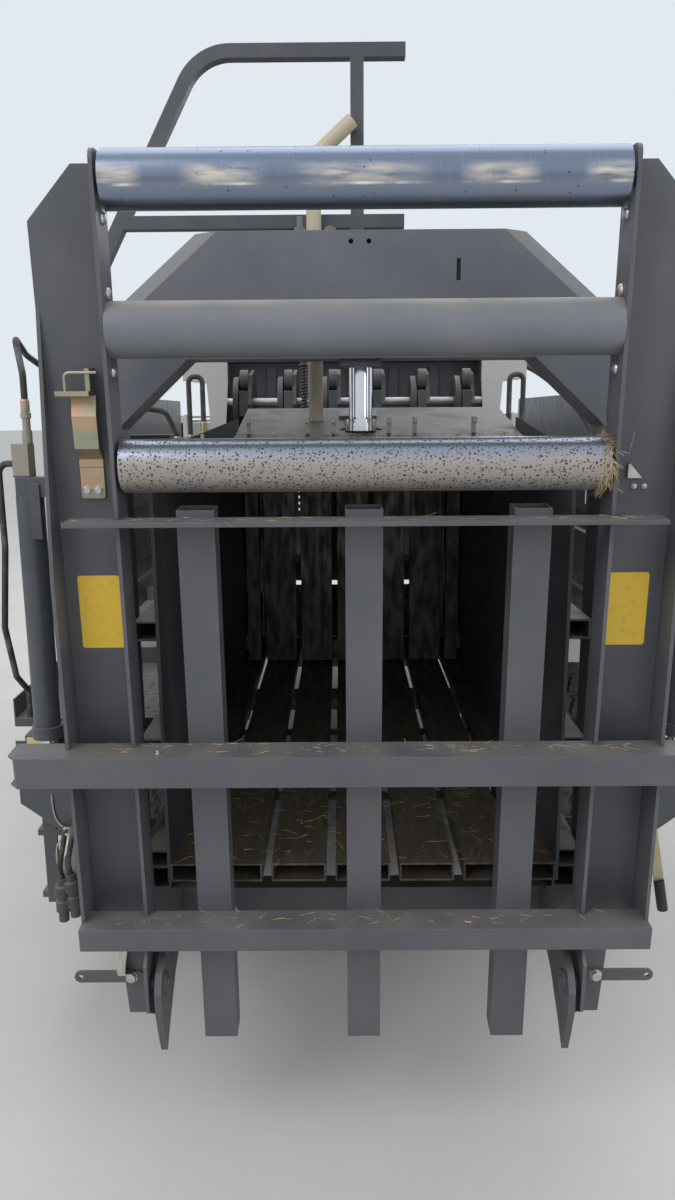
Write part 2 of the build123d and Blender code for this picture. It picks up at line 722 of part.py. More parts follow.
def hoses():
    """The dusty hoses that the frame holds along their whole way."""
    x = HOSE_LOOP_X
    y = HOSE_LOOP_Y
    rib_top = ROOF_UNDER
    loop = bent_bar([(x, y, rib_top), (x, y, HOSE_LOOP_TOP), (x - 54, y, HOSE_LOOP_TOP),
                     (x - 54, y, ROOF_UNDER + ROOF_RAIL)], HOSE, 24)
    cylinder_y = (PORTAL_Y[0] + PORTAL_Y[1]) / 2
    top = SIDE_CYLINDER_Z[1] + 236
    side = -SIDE_CYLINDER_X
    feed = bent_bar([(side + 6, cylinder_y, top), (side + 6, cylinder_y, top + 130), (side - 30, cylinder_y + 60, top + 240),
                     (side - 60, cylinder_y + 240, top + 200), (side + 60, cylinder_y + 500, top + 60),
                     (-x - 40, cylinder_y + 560, top + 20), (-x, cylinder_y + 560, rib_top + 60),
                     (-x, cylinder_y + 560, rib_top)], HOSE, 40)
    deck = PLATFORM_Z + 30
    pipe_x, pipe_top = side - 20, SIDE_CYLINDER_Z[1] + 60
    drop = bent_bar([(side - 36, cylinder_y, pipe_top + 40), (pipe_x - 70, cylinder_y, pipe_top + 40),
                     (pipe_x - 70, cylinder_y, 1900), (pipe_x - 100, cylinder_y + 20, 1640),
                     (pipe_x - 110, cylinder_y + 110, 1450), (pipe_x - 110, cylinder_y + 210, 1370),
                     (pipe_x - 110, cylinder_y + 210, deck)], HOSE, 30)
    return both_sides(loop) + [feed, drop]


def roof_beam_top(y):
    """The height of the roof beam's sloped top at a place along the machine."""
    y0, y1 = ROOF_BEAM_Y
    low = ROOF_UNDER + ROOF_RAIL + ROOF_BEAM_LIP
    return low + (ROOF_BEAM_HEIGHT - ROOF_BEAM_LIP) * (y - y0) / (y1 - y0)


def roof_cross_plate():
    """The sloped beam on the roof channels with its end gussets and twine hooks."""
    base = ROOF_UNDER + ROOF_RAIL
    y0, y1 = ROOF_BEAM_Y
    side = [(y0, base), (y1, base), (y1, base + ROOF_BEAM_HEIGHT), (y0, base + ROOF_BEAM_LIP)]
    inner = [(y0 + 60, base - 1), (y1 - 10, base - 1), (y1 - 10, base + ROOF_BEAM_HEIGHT - 14), (y0 + 60, base + 14)]
    x0, x1 = ROOF_BEAM_X
    beam = plate_yz(side, ROOF_BEAM_X) - plate_yz(inner, (x0 + WALL, x1 - WALL))
    gusset_y = (y0 + 126, y0 + 134)
    for root, tip in zip(ROOF_BEAM_X, GUSSET_TIPS):
        beam += plate_xz([(root, base), (tip, base), (root, base + GUSSET_HEIGHT)], gusset_y)
    slot_x, slot_z = GUSSET_SLOT
    beam -= block((slot_x - 6, slot_x + 6), (gusset_y[0] - 1, gusset_y[1] + 1), (base + 8, base + slot_z))
    rod_y = (PORTAL_Y[0] + PORTAL_Y[1]) / 2
    beam -= rod((0, rod_y, roof_beam_top(rod_y)), (0, rod_y, base + 200), DENSITY_ROD + 60)
    y = y0 + 30
    hook = [(y - 5, base + 8), (y + 5, base + 8), (y + 5, base + 72), (y - 26, base + 72), (y - 30, base + 56),
            (y - 22, base + 54), (y - 19, base + 63), (y - 5, base + 63)]
    for x in HOOK_PLACES:
        beam += plate_yz(hook, (x - 6, x + 6))
    return beam


def plunger():
    """The hollow plunger: a slotted face, side shoes on the walls and a rear frame."""
    half = HALF_CHAMBER - PLUNGER_GAP
    y0, y1 = PLUNGER_Y
    z = (FLOOR_TOP + PLUNGER_GAP, ROOF_UNDER - PLUNGER_GAP)
    face = block((-half, half), (y0, y0 + 40), z)
    for x in TWINE_LANES:
        face -= block((x - SLOT / 2, x + SLOT / 2), (y0 - 1, y0 + 41), (z[0] - 1, z[1] - 60))
    body = tube((-half + 80, half - 80), (y0 + 40, y1), (z[0] + 120, z[1] - 120), 12, "y")
    shoes = [
        block((side * half if side > 0 else -HALF_CHAMBER, HALF_CHAMBER if side > 0 else -half),
              (y0, y0 + 120), (level, level + 90))
        for side in (-1, 1)
        for level in (z[0] + 60, z[1] - 150)
    ]
    ties = [block((side * (half - 80) if side > 0 else -half, half if side > 0 else -half + 80),
                  (y0 + 40, y0 + 120), (level, level + 90))
            for side in (-1, 1) for level in (z[0] + 130, z[1] - 220)]
    whole = face + body
    for piece in shoes + ties:
        whole += piece
    return whole


def ring_sector(centre, radii, angles, x):
    """A flat curved bar in an upright lengthwise plane, from one angle to another."""
    plane = Plane(origin=(x[0], 0, 0), x_dir=(0, 1, 0), z_dir=(1, 0, 0))
    inner_arc = CenterArc(centre, radii[0], angles[0], angles[1] - angles[0])
    outer_arc = CenterArc(centre, radii[1], angles[0], angles[1] - angles[0])
    outline = [inner_arc, Line(inner_arc @ 1, outer_arc @ 1), outer_arc, Line(inner_arc @ 0, outer_arc @ 0)]
    return extrude(plane * make_face(outline), amount=x[1] - x[0], dir=(1, 0, 0))


def on_arc(centre, radius, angle):
    """The (y, z) place on a circle at an angle in degrees from +Y towards +Z."""
    return (centre[0] + radius * cos(radians(angle)), centre[1] + radius * sin(radians(angle)))


def needle_yoke():
    """The needle yoke below the floor: a cross tube, two arms and six needles."""
    foot_y, foot_z = on_arc(YOKE_PIVOT, NEEDLE_RADIUS, NEEDLE_ANGLES[1])
    yoke = rod_x((-YOKE_X[1], YOKE_X[1]), foot_y, foot_z, YOKE_TUBE)
    for x in TWINE_LANES:
        yoke += ring_sector(YOKE_PIVOT, (NEEDLE_RADIUS - 22, NEEDLE_RADIUS + 22), NEEDLE_ANGLES, (x - 6, x + 6))
    y, z = YOKE_PIVOT
    arm = plate_yz([(y - 45, z + 45), (y + 45, z + 45), (y + 45, z - 45), (foot_y + 60, foot_z),
                    (foot_y, foot_z - 45), (foot_y - 60, foot_z)], YOKE_X)
    arm += rod_x((RIB_OUT, YOKE_X[1]), y, z, 50)
    return yoke + arm + mirror(arm, about=Plane.YZ)


def knotter_table():
    """The table over the roof channels, its bearing plates and the cover ahead."""
    base = ROOF_UNDER + ROOF_RAIL
    foot = base + 12
    table = block((-WALL_OUT - 20, WALL_OUT + 20), KNOTTER_TABLE_Y, (base, foot))
    for x in TWINE_LANES:
        table -= block((x - SLOT, x + SLOT), (KNOTTER_Y - 90, KNOTTER_Y + 20), (base - 1, base + 13))
    top = KNOTTER_SHAFT_Z + 40
    post = [(KNOTTER_Y - 90, foot), (KNOTTER_Y + 90, foot), (KNOTTER_Y + 40, top), (KNOTTER_Y - 40, top)]
    bore = rod_x((-700, 700), KNOTTER_Y, KNOTTER_SHAFT_Z, KNOTTER_SHAFT + 2 * PIN_FIT)
    for x in (-WALL_OUT, WALL_OUT - 16):
        table += plate_yz(post, (x, x + 16))
    y, z = COVER_Y, COVER_TOP
    sheet = [(y, foot), (y, z - 60), (y - 60, z), (y - 180, z), (y - 180, z - SHEET), (y - 60 - SHEET / 2, z - SHEET),
             (y - SHEET, z - 60 - SHEET / 2), (y - SHEET, foot)]
    cover = plate_yz(sheet, (-WALL_OUT, WALL_OUT))
    cheek = [(y, foot), (y, z - 60), (y - 60, z), (y - 180, z), (y - 150, foot)]
    for x in (-WALL_OUT - SHEET, WALL_OUT):
        cover += plate_yz(cheek, (x, x + SHEET))
    for x in (-400, -200, 0, 200, 400):
        cover += block((x - 20, x + 20), (y - 22, y - SHEET), (foot, z - 80))
    return table + cover - bore


def knotter_panel():
    """The pale upright panel beside the knotters on the right, on its foot."""
    foot = ROOF_UNDER + ROOF_RAIL + 12
    y = PANEL_Y
    x0, x1 = PANEL_SPAN
    top = KNOTTER_SHAFT_Z + 195
    face = plate_xz([(x0 + 15, foot), (x0 + 78, foot), (x0 + 92, top - 118), (x1, top - 106), (x1, top - 12),
                     (x0, top), (x0, top - 118)], (y, y + SHEET))
    shelf = block((x0 + 15, x0 + 78), (y + SHEET, y + 80), (foot, foot + SHEET))
    lip = block((x0, x0 + 40), (y + SHEET, y + 30), (top - 112, top - 4))
    return face + shelf + lip


def knotter(x):
    """One knotter: its frame, cam disc, bill hook housing and twine disc stack."""
    z = KNOTTER_SHAFT_Z
    base = ROOF_UNDER + ROOF_RAIL + 12
    frame = plate_yz([(KNOTTER_Y + 150, base), (KNOTTER_Y + 180, z + 60), (KNOTTER_Y + 90, z + 150),
                      (KNOTTER_Y - 60, z + 120), (KNOTTER_Y - 120, z - 10), (KNOTTER_Y - 60, base)],
                     (x + 24, x + 40))
    cam = rod_x((x - 44, x - 20), KNOTTER_Y, z, 230)
    hub = rod_x((x - 20, x + 24), KNOTTER_Y, z, 88)
    disc = rod_x((x - 12, x + 24), KNOTTER_Y - 50, z + 96, 96)
    hook = plate_yz([(KNOTTER_Y - 120, z - 60), (KNOTTER_Y - 60, z - 74), (KNOTTER_Y - 46, z - 30),
                     (KNOTTER_Y - 110, z + 50)], (x - 14, x + 24))
    bore = rod_x((x - 60, x + 60), KNOTTER_Y, z, KNOTTER_SHAFT + 2 * PIN_FIT)
    return frame + cam + hub + disc + hook - bore


def gearbox():
    """The closed main gearbox as one plain block, with the flywheel's shaft."""
    y0, y1 = GEARBOX_Y
    case = block((-GEARBOX_HALF, GEARBOX_HALF), GEARBOX_Y, GEARBOX_Z)
    case = fillet(case.edges().filter_by(Axis.Y), 60)
    middle_y, middle_z = (y0 + y1) / 2, (GEARBOX_Z[0] + GEARBOX_Z[1]) / 2
    case += rod_x((-GEARBOX_HALF - 24, GEARBOX_HALF + 24), middle_y, middle_z, 360)
    for y in (y0 + 130, y1 - 154):
        case += block((-GEARBOX_HALF - 12, GEARBOX_HALF + 12), (y, y + 24), (GEARBOX_Z[0], GEARBOX_Z[0] + 160))
    feet = block((-RAIL_INNER, RAIL_INNER), (y0 + 60, y1 - 60), (RAIL_TOP, GEARBOX_Z[0]))
    shaft = rod((0, y1, FLYWHEEL_Z), (0, FLYWHEEL_Y[1] + 20, FLYWHEEL_Z), FLYWHEEL_SHAFT)
    nose = rod((0, y1, FLYWHEEL_Z), (0, FLYWHEEL_Y[0] - 30, FLYWHEEL_Z), FLYWHEEL_SHAFT + 90)
    return case + feet + shaft + nose


def flywheel():
    """The spoked flywheel on the gearbox shaft: heavy rim, web with windows, hub."""
    y0, y1 = FLYWHEEL_Y
    centre = (0, y0, FLYWHEEL_Z)
    front = (0, y1, FLYWHEEL_Z)
    wheel = rod(centre, front, 2 * FLYWHEEL_RADIUS, 2 * FLYWHEEL_RADIUS - 2 * FLYWHEEL_RIM)
    web = rod((0, y0 + 50, FLYWHEEL_Z), (0, y1 - 50, FLYWHEEL_Z), 2 * FLYWHEEL_RADIUS - FLYWHEEL_RIM)
    for step in range(FLYWHEEL_WINDOWS):
        angle = radians(360 / FLYWHEEL_WINDOWS * step)
        x, z = 245 * sin(angle), FLYWHEEL_Z + 245 * cos(angle)
        web -= rod((x, y0, z), (x, y1, z), 130)
    hub = rod(centre, front, 190)
    return wheel + web + hub - rod(centre, front, FLYWHEEL_SHAFT + 2 * PIN_FIT)


def flywheel_guard():
    """The arched sheet over the flywheel, standing on the front deck."""
    r = FLYWHEEL_RADIUS + FLYWHEEL_GAP
    y0, y1 = FLYWHEEL_Y[0] - 20, FLYWHEEL_Y[1] + 10
    outer = rod((0, y0, FLYWHEEL_Z), (0, y1, FLYWHEEL_Z), 2 * (r + GUARD_SHEET))
    outer += block((-r - GUARD_SHEET, r + GUARD_SHEET), (y0, y1), (RAIL_TOP, FLYWHEEL_Z))
    inner = rod((0, y0 - 1, FLYWHEEL_Z), (0, y1 + 1, FLYWHEEL_Z), 2 * r)
    inner += block((-r, r), (y0 - 1, y1 + 1), (RAIL_TOP - 600, FLYWHEEL_Z))
    floor_cut = block((-700, 700), (y0 - 1, y1 + 1), (RAIL_TOP - 700, RAIL_TOP))
    return outer - inner - floor_cut


def drawbar():
    """The A-shaped tongue: two tapered legs to a head, with the jack's bridge."""
    side = [(RAIL_FRONT, RAIL_TOP), (HEAD_Y[1], HITCH_Z + 60), (HEAD_Y[1], HITCH_Z - 60), (RAIL_FRONT, RAIL_BOTTOM)]
    plan = [(-RAIL_OUTER, RAIL_FRONT), (RAIL_OUTER, RAIL_FRONT), (110, HEAD_Y[0]), (80, HEAD_Y[1]),
            (-80, HEAD_Y[1]), (-110, HEAD_Y[0])]
    opening = [(-RAIL_INNER + 30, RAIL_FRONT - 1), (RAIL_INNER - 30, RAIL_FRONT - 1), (0, HEAD_Y[0] - 60)]
    z = (HITCH_Z - 100, RAIL_TOP + 10)
    tongue = plate_yz(side, (-RAIL_OUTER, RAIL_OUTER)) & plate_xy(plan, z)
    tongue -= plate_xy(opening, (z[0] - 50, z[1] + 50))
    bridge_half = JACK_BRIDGE_HALF
    z_mid = (JACK_TUBE_Z[0] + JACK_TUBE_Z[1]) / 2
    bridge = block((-bridge_half, bridge_half), (JACK_Y - 90, JACK_Y + 90), (z_mid + 20, z_mid + 32))
    half = JACK_TUBE / 2
    return tongue + bridge - block((-half, half), (JACK_Y - half, JACK_Y + half), (0, 2000))


def hitch_ring():
    """The towing eye with its shank in the drawbar's head."""
    eye = Pos(0, EYE_Y, HITCH_Z) * Cylinder(EYE_RADIUS, EYE_HEIGHT)
    eye = fillet(eye.edges(), 12)
    shank = rod((0, HEAD_Y[1], HITCH_Z), (0, EYE_Y - EYE_BORE / 2 - 5, HITCH_Z), 56)
    flange = rod((0, HEAD_Y[1], HITCH_Z), (0, HEAD_Y[1] + 25, HITCH_Z), 110)
    return eye + shank + flange - Pos(0, EYE_Y, HITCH_Z) * Cylinder(EYE_BORE / 2, EYE_HEIGHT + 2)


def jack_tube():
    """The square outer tube of the parking jack, through the drawbar's bridge."""
    half = JACK_TUBE / 2
    outer = tube((-half, half), (JACK_Y - half, JACK_Y + half), JACK_TUBE_Z, JACK_WALL, "z")
    cap = block((-half, half), (JACK_Y - half, JACK_Y + half), (JACK_TUBE_Z[1], JACK_TUBE_Z[1] + 8))
    crank = bent_bar([(half, JACK_Y, JACK_TUBE_Z[1] - 60), (half + 90, JACK_Y, JACK_TUBE_Z[1] - 60),
                      (half + 90, JACK_Y, JACK_TUBE_Z[1] - 180), (half + 170, JACK_Y, JACK_TUBE_Z[1] - 180)], 16, 20)
    return outer + cap + crank


def jack_leg():
    """The sliding leg with its foot plate on the ground."""
    half = JACK_TUBE / 2 - JACK_WALL - JACK_GAP
    leg = tube((-half, half), (JACK_Y - half, JACK_Y + half), (FOOT_PLATE, JACK_LEG_TOP), 6, "z")
    foot = block((-FOOT_HALF, FOOT_HALF), (JACK_Y - FOOT_HALF, JACK_Y + FOOT_HALF), (0, FOOT_PLATE))
    return leg + foot


def drawbar_top(y):
    """The height of the drawbar's sloped top at a place along the machine."""
    fall = (RAIL_TOP - HITCH_Z - 60) / (HEAD_Y[1] - RAIL_FRONT)
    return RAIL_TOP - fall * (y - RAIL_FRONT)


def pto_shaft():
    """The guarded drive shaft from the gearbox shaft to its stand at the hitch."""
    stub_end = FLYWHEEL_Y[1] + 20
    start = Vector(0, stub_end + 30, FLYWHEEL_Z)
    end = Vector(0, PTO_END_Y, PTO_END_Z)
    along = (end - start).normalized()
    shaft = rod(start, end, 50) + rod((0, stub_end, FLYWHEEL_Z), (0, stub_end + 56, FLYWHEEL_Z), 64)
    guard_start, guard_end = start + along * 120, end - along * 110
    middle = start + (end - start) * 0.52
    shaft += rod(guard_start, middle, 112)
    shaft += rod(middle, guard_end, 94)
    for foot, tip, wide in ((guard_start - along * 90, guard_start + along * 30, 176),
                            (guard_end + along * 80, guard_end - along * 30, 150)):
        plane = Plane(origin=foot, z_dir=(tip - foot))
        shaft += plane.location * Cone(wide / 2, 52, (tip - foot).length, align=(Align.CENTER, Align.CENTER, Align.MIN))
    stand_y = PTO_END_Y - 60
    stand_top = PTO_END_Z - 20
    foot = drawbar_top(stand_y)
    stand = plate_xz([(-60, foot - 20), (60, foot - 20), (36, stand_top), (-36, stand_top)], (stand_y - 8, stand_y + 8))
    stand -= plate_yz([(stand_y - 20, foot - 40), (stand_y - 20, drawbar_top(stand_y - 20)),
                       (stand_y + 20, drawbar_top(stand_y + 20)), (stand_y + 20, foot - 40)], (-90, 90))
    bore = rod(end - along * PTO_BORE_DEPTH, end + along, PTO_BORE)
    return shaft + stand - bore


def front_hood():
    """The sheet hood over the gearbox and plunger drive, open below and behind."""
    outer = [(HOOD_REAR, RAIL_TOP), (HOOD_REAR, HOOD_TOP - 60), (HOOD_REAR + 560, HOOD_TOP), (HOOD_FRONT - 120, HOOD_TOP - 330),
             (HOOD_FRONT, HOOD_TOP - 620), (HOOD_FRONT, RAIL_TOP)]
    s = HOOD_SHEET
    inner = [(HOOD_REAR - 1, RAIL_TOP - 1), (HOOD_REAR - 1, HOOD_TOP - 60 - s), (HOOD_REAR + 560, HOOD_TOP - s),
             (HOOD_FRONT - 120 - s, HOOD_TOP - 334 - s), (HOOD_FRONT - s, HOOD_TOP - 624), (HOOD_FRONT - s, RAIL_TOP - 1)]
    hood = plate_yz(outer, (-RIB_OUT, RIB_OUT)) - plate_yz(inner, (-RIB_OUT + s, RIB_OUT - s))
    hood -= rod((0, HOOD_FRONT - 50, FLYWHEEL_Z), (0, HOOD_FRONT + 50, FLYWHEEL_Z), FLYWHEEL_SHAFT + 110)
    raised = [(y + 10 if y > HOOD_REAR else y, z + 10) for y, z in outer[1:-1]]
    for x in (-420, 0, 420):
        ridge = plate_yz([outer[0]] + raised + [(HOOD_FRONT + 10, HOOD_TOP - 700), (HOOD_FRONT, HOOD_TOP - 700), outer[-1]],
                         (x - 30, x + 30))
        hood += ridge - plate_yz(outer, (x - 31, x + 31))
    for row in range(GRILLE_ROWS):
        z = HOOD_TOP - 800 - row * 60
        hood -= block((-480, 480), (HOOD_FRONT - 40, HOOD_FRONT + 40), (z, z + 24))
    return hood


def feeder_duct():
    """The curved pre-chamber duct from the pick-up to the chamber's mouth."""
    def region(x, grow):
        y0, y1 = DUCT_MOUTH
        foot, top = DUCT_FRONT_Z
        low = ThreePointArc((DUCT_FRONT_Y, foot - grow), arc_point(y0, foot, -grow), (y0, CROSS_TOP))
        high = ThreePointArc((DUCT_FRONT_Y, top + grow), arc_point(y1, top, grow), (y1, CROSS_TOP))
        outline = [low, Line(low @ 1, high @ 1), high, Line(low @ 0, high @ 0)]
        plane = Plane(origin=(x[0], 0, 0), x_dir=(0, 1, 0), z_dir=(1, 0, 0))
        return extrude(plane * make_face(outline), amount=x[1] - x[0], dir=(1, 0, 0))

    def arc_point(mouth_y, front_z, grow):
        """A point of the arc that leaves the front level and ends at the mouth."""
        run, rise = DUCT_FRONT_Y - mouth_y, CROSS_TOP - front_z
        radius = (run ** 2 + rise ** 2) / (2 * rise)
        half_run = run / 2
        return (DUCT_FRONT_Y - half_run, front_z + grow + radius - (radius ** 2 - half_run ** 2) ** 0.5)

    shell = region((-DUCT_HALF, DUCT_HALF), DUCT_SHEET)
    inside = region((-DUCT_HALF + DUCT_SHEET, DUCT_HALF - DUCT_SHEET), 0)
    side = plate_yz([(DUCT_MOUTH[0], CROSS_TOP), (DUCT_MOUTH[1], CROSS_TOP), (DUCT_MOUTH[1], CROSS_TOP - 60),
                     (DUCT_MOUTH[0], CROSS_TOP - 60)], (DUCT_HALF, RAIL_INNER))
    return shell - inside + side + mirror(side, about=Plane.YZ)


def square_bar(points, size, radius):
    """A square bar along runs across the machine joined by arcs of one radius."""
    path = FilletPolyline(*points, radius=radius)
    return sweep(Plane(origin=path @ 0, x_dir=(0, 1, 0), z_dir=path % 0) * Rectangle(size, size), path=path)


def handrail():
    """The hoop rail over the chamber: one bent top rail, a lower rail and a post."""
    y = HANDRAIL_Y
    half = HANDRAIL_TUBE / 2
    arm_z = (ROOF_UNDER + 30, ROOF_UNDER + 70)
    hoop = square_bar([(-HANDRAIL_X, y, arm_z[1]), (-HANDRAIL_X, y, HANDRAIL_BEND), (HANDRAIL_CORNER, y, HANDRAIL_TOP),
                       (HANDRAIL_END, y, HANDRAIL_TOP)], HANDRAIL_TUBE, 160)
    share = (HANDRAIL_LOW - HANDRAIL_BEND) / (HANDRAIL_TOP - HANDRAIL_BEND)
    start = -HANDRAIL_X + share * (HANDRAIL_X + HANDRAIL_CORNER)
    lower = tube((start, HANDRAIL_END), (y - half, y + half), (HANDRAIL_LOW - half, HANDRAIL_LOW + half),
                 HANDRAIL_WALL, "x")
    post = block((HANDRAIL_POST - half, HANDRAIL_POST + half), (y - half, y + half),
                 (roof_beam_top(y) + 6, HANDRAIL_TOP))
    foot = plate_yz([(y - 40, roof_beam_top(y - 40)), (y + 40, roof_beam_top(y + 40)),
                     (y + 40, roof_beam_top(y + 40) + 12), (y - 40, roof_beam_top(y - 40) + 12)],
                    (HANDRAIL_POST - 60, HANDRAIL_POST + 60))
    arm = block((-HANDRAIL_X - half, -WALL_OUT), (y - 30, y + 30), arm_z)
    return hoop + (lower - hoop) + post + arm + foot


def goose_neck_pipe():
    """The pale bent brace pipe from the roof beam to the handrail's post."""
    half = GOOSE_NECK / 2
    x = GOOSE_NECK_X
    y = HANDRAIL_Y - HANDRAIL_TUBE / 2 - half - CLAMP_GAP
    pipe = bent_bar([(x, y, roof_beam_top(y) - 20), (x, y, GOOSE_NECK_BEND),
                     (HANDRAIL_POST - 15, y, GOOSE_NECK_BEND + 104)], GOOSE_NECK, 60)
    return pipe - plate_yz([(y - 40, roof_beam_top(y - 40)), (y + 40, roof_beam_top(y + 40)), (y + 40, ROOF_UNDER),
                            (y - 40, ROOF_UNDER)], (x - 60, x + 60))


def platform():
    """The step platform on the left: deck, toe board and the two beams below."""
    x0, x1 = PLATFORM_X
    top = PLATFORM_Z + 30
    deck = block((-x1, -x0), PLATFORM_Y, (PLATFORM_Z, top))
    toe = block((-x1, -x1 + 5), PLATFORM_Y, (top, top + 70)) + block(
        (-x1, -x0), (PLATFORM_Y[1] - 5, PLATFORM_Y[1]), (top, top + 70))
    beams = [tube((-x - 110, -x), (PLATFORM_Y[0] - 90, PLATFORM_Y[1]), (PLATFORM_Z - PLATFORM_BEAM, PLATFORM_Z), 5, "y")
             for x in (760, 1025)]
    return deck + toe + beams[0] + beams[1]


def ladder():
    """The ladder below the platform: two stiles and four treads."""
    x0, x1 = -PLATFORM_X[1] + 10, -PLATFORM_X[1] + 60
    steps = block((x0, x1), (LADDER_Y[0], LADDER_Y[0] + 12), (LADDER_FOOT, PLATFORM_Z))
    steps += block((x0, x1), (LADDER_Y[1] - 12, LADDER_Y[1]), (LADDER_FOOT, PLATFORM_Z))
    for row in range(LADDER_TREADS):
        z = LADDER_FOOT + 20 + row * (PLATFORM_Z - LADDER_FOOT) / LADDER_TREADS
        steps += block((x0 - 20, x1 + 60), LADDER_Y, (z, z + 24))
    return steps


def rear_bulkhead():
    """The right hand end panel beside the portal, with its slanted lower edge."""
    y = BULKHEAD_Y
    top = PLATFORM_Z - PLATFORM_BEAM
    panel = plate_xz([(PORTAL_HALF - 30, 811), (PORTAL_HALF + 140, 811), (1200, 963), (1200, top), (PORTAL_HALF - 30, top)],
                     (y, y + 6))
    return panel + block((RAIL_OUTER, PORTAL_HALF - 20), (y, y + 6), (811, RAIL_TOP))


def beaded(x, z, beads, depth, sheet):
    """The (x, z) profile of an upright sheet with a pressed bead at each height."""
    inner = [(x, z[0])]
    for middle in beads:
        low, high = middle - BEAD_HEIGHT / 2, middle + BEAD_HEIGHT / 2
        inner += [(x, low), (x + depth, low + depth), (x + depth, high - depth), (x, high)]
    inner.append((x, z[1]))
    return inner + [(px + sheet, pz) for px, pz in reversed(inner)]


def side_shield():
    """The right hand shield over the wheels: mudguard, beaded panel and brackets."""
    y0, y1 = SHIELD_Y
    x0, x1 = YOKE_X[1] + 10, SHIELD_X
    top = MUDGUARD_Z + SHEET
    mudguard = block((x0, x1), (y0, y1), (MUDGUARD_Z, top))
    lip = block((x1 - SHEET, x1), (y0, y1), (MUDGUARD_Z - MUDGUARD_LIP, MUDGUARD_Z))
    beads = [MUDGUARD_Z + rise for rise in SHIELD_BEADS]
    panel = plate_xz(beaded(x1, (MUDGUARD_Z, SHIELD_TOP), beads, BEAD_DEPTH, SHEET), (y0, y1))
    panel &= plate_yz([(y0, MUDGUARD_Z), (y1, MUDGUARD_Z), (y1, SHIELD_TOP), (y0 + 220, SHIELD_TOP),
                       (y0, SHIELD_TOP - 260)], (x1 - 1, x1 + 60))
    vent_z = beads[1] + 95
    for step in range(SHIELD_VENTS):
        y = y0 + 500 + step * 60
        panel -= block((x1 - 1, x1 + 40), (y, y + 22), (vent_z, vent_z + 110))
    arm_z = ROOF_UNDER - 60
    braces = []
    for y in (y0, (y0 + y1) / 2, y1 - SHEET - 42):
        braces.append(plate_xz([(RIB_OUT, top), (x1, top), (x1, top + 74), (RIB_OUT, top + 114)], (y, y + SHEET)))
        braces.append(block((RIB_OUT, x1), (y + SHEET + 1, y + SHEET + 41), (arm_z, arm_z + 40)))
    return [mudguard, lip, panel] + braces


def lamp(x):
    """A rear lamp and its board, that face backwards."""
    y = BULKHEAD_Y
    low = LAMP_Z
    return block((x, x + 150), (y - 45, y), (low, low + 90)) + block((x - 20, x + 170), (y - 8, y), (low - 2, low + 105))


def twine_box():
    """The right hand twine box: floor, back, ends and a shelf behind the door."""
    y0, y1 = TWINE_BOX_Y
    x0, x1 = RIB_OUT, DOOR_X - DOOR_GAP
    z0, z1 = TWINE_BOX_Z
    inside_x, inside_z = (x0 + SHEET, x1), (z0 + SHEET, z1 - SHEET)
    plates = [
        block((x0, x1), (y0, y1), (z0, z0 + SHEET)),
        block((x0, x1), (y0, y1), (z1 - SHEET, z1)),
        block((x0, x0 + SHEET), (y0, y1), inside_z),
        block(inside_x, (y0, y0 + SHEET), inside_z),
        block(inside_x, (y1 - SHEET, y1), inside_z),
    ]
    for level in (z0 + (z1 - z0) / 3, z0 + 2 * (z1 - z0) / 3):
        plates.append(block((x0 + SHEET, x1 - 20), (y0 + SHEET, y1 - SHEET), (level, level + SHEET)))
    for y in (y0 + 40, y1 - 100):
        plates.append(block((RAIL_OUTER, x1 - 40), (y, y + 60), (RAIL_TOP - 70, RAIL_TOP)))
        plates.append(block((x1 - 100, x1 - 40), (y, y + 60), (RAIL_TOP, z0)))
    hinge = rod((DOOR_X + 9, y0 + 5, DOOR_HINGE_Z), (DOOR_X + 9, y1 - 5, DOOR_HINGE_Z), HINGE_ROD)
    for y in (y0 + 5, y1 - 25):
        hinge += block((x1 - 30, DOOR_X + 20), (y, y + 20), (z1, DOOR_HINGE_Z + 10))
    return plates + [hinge]


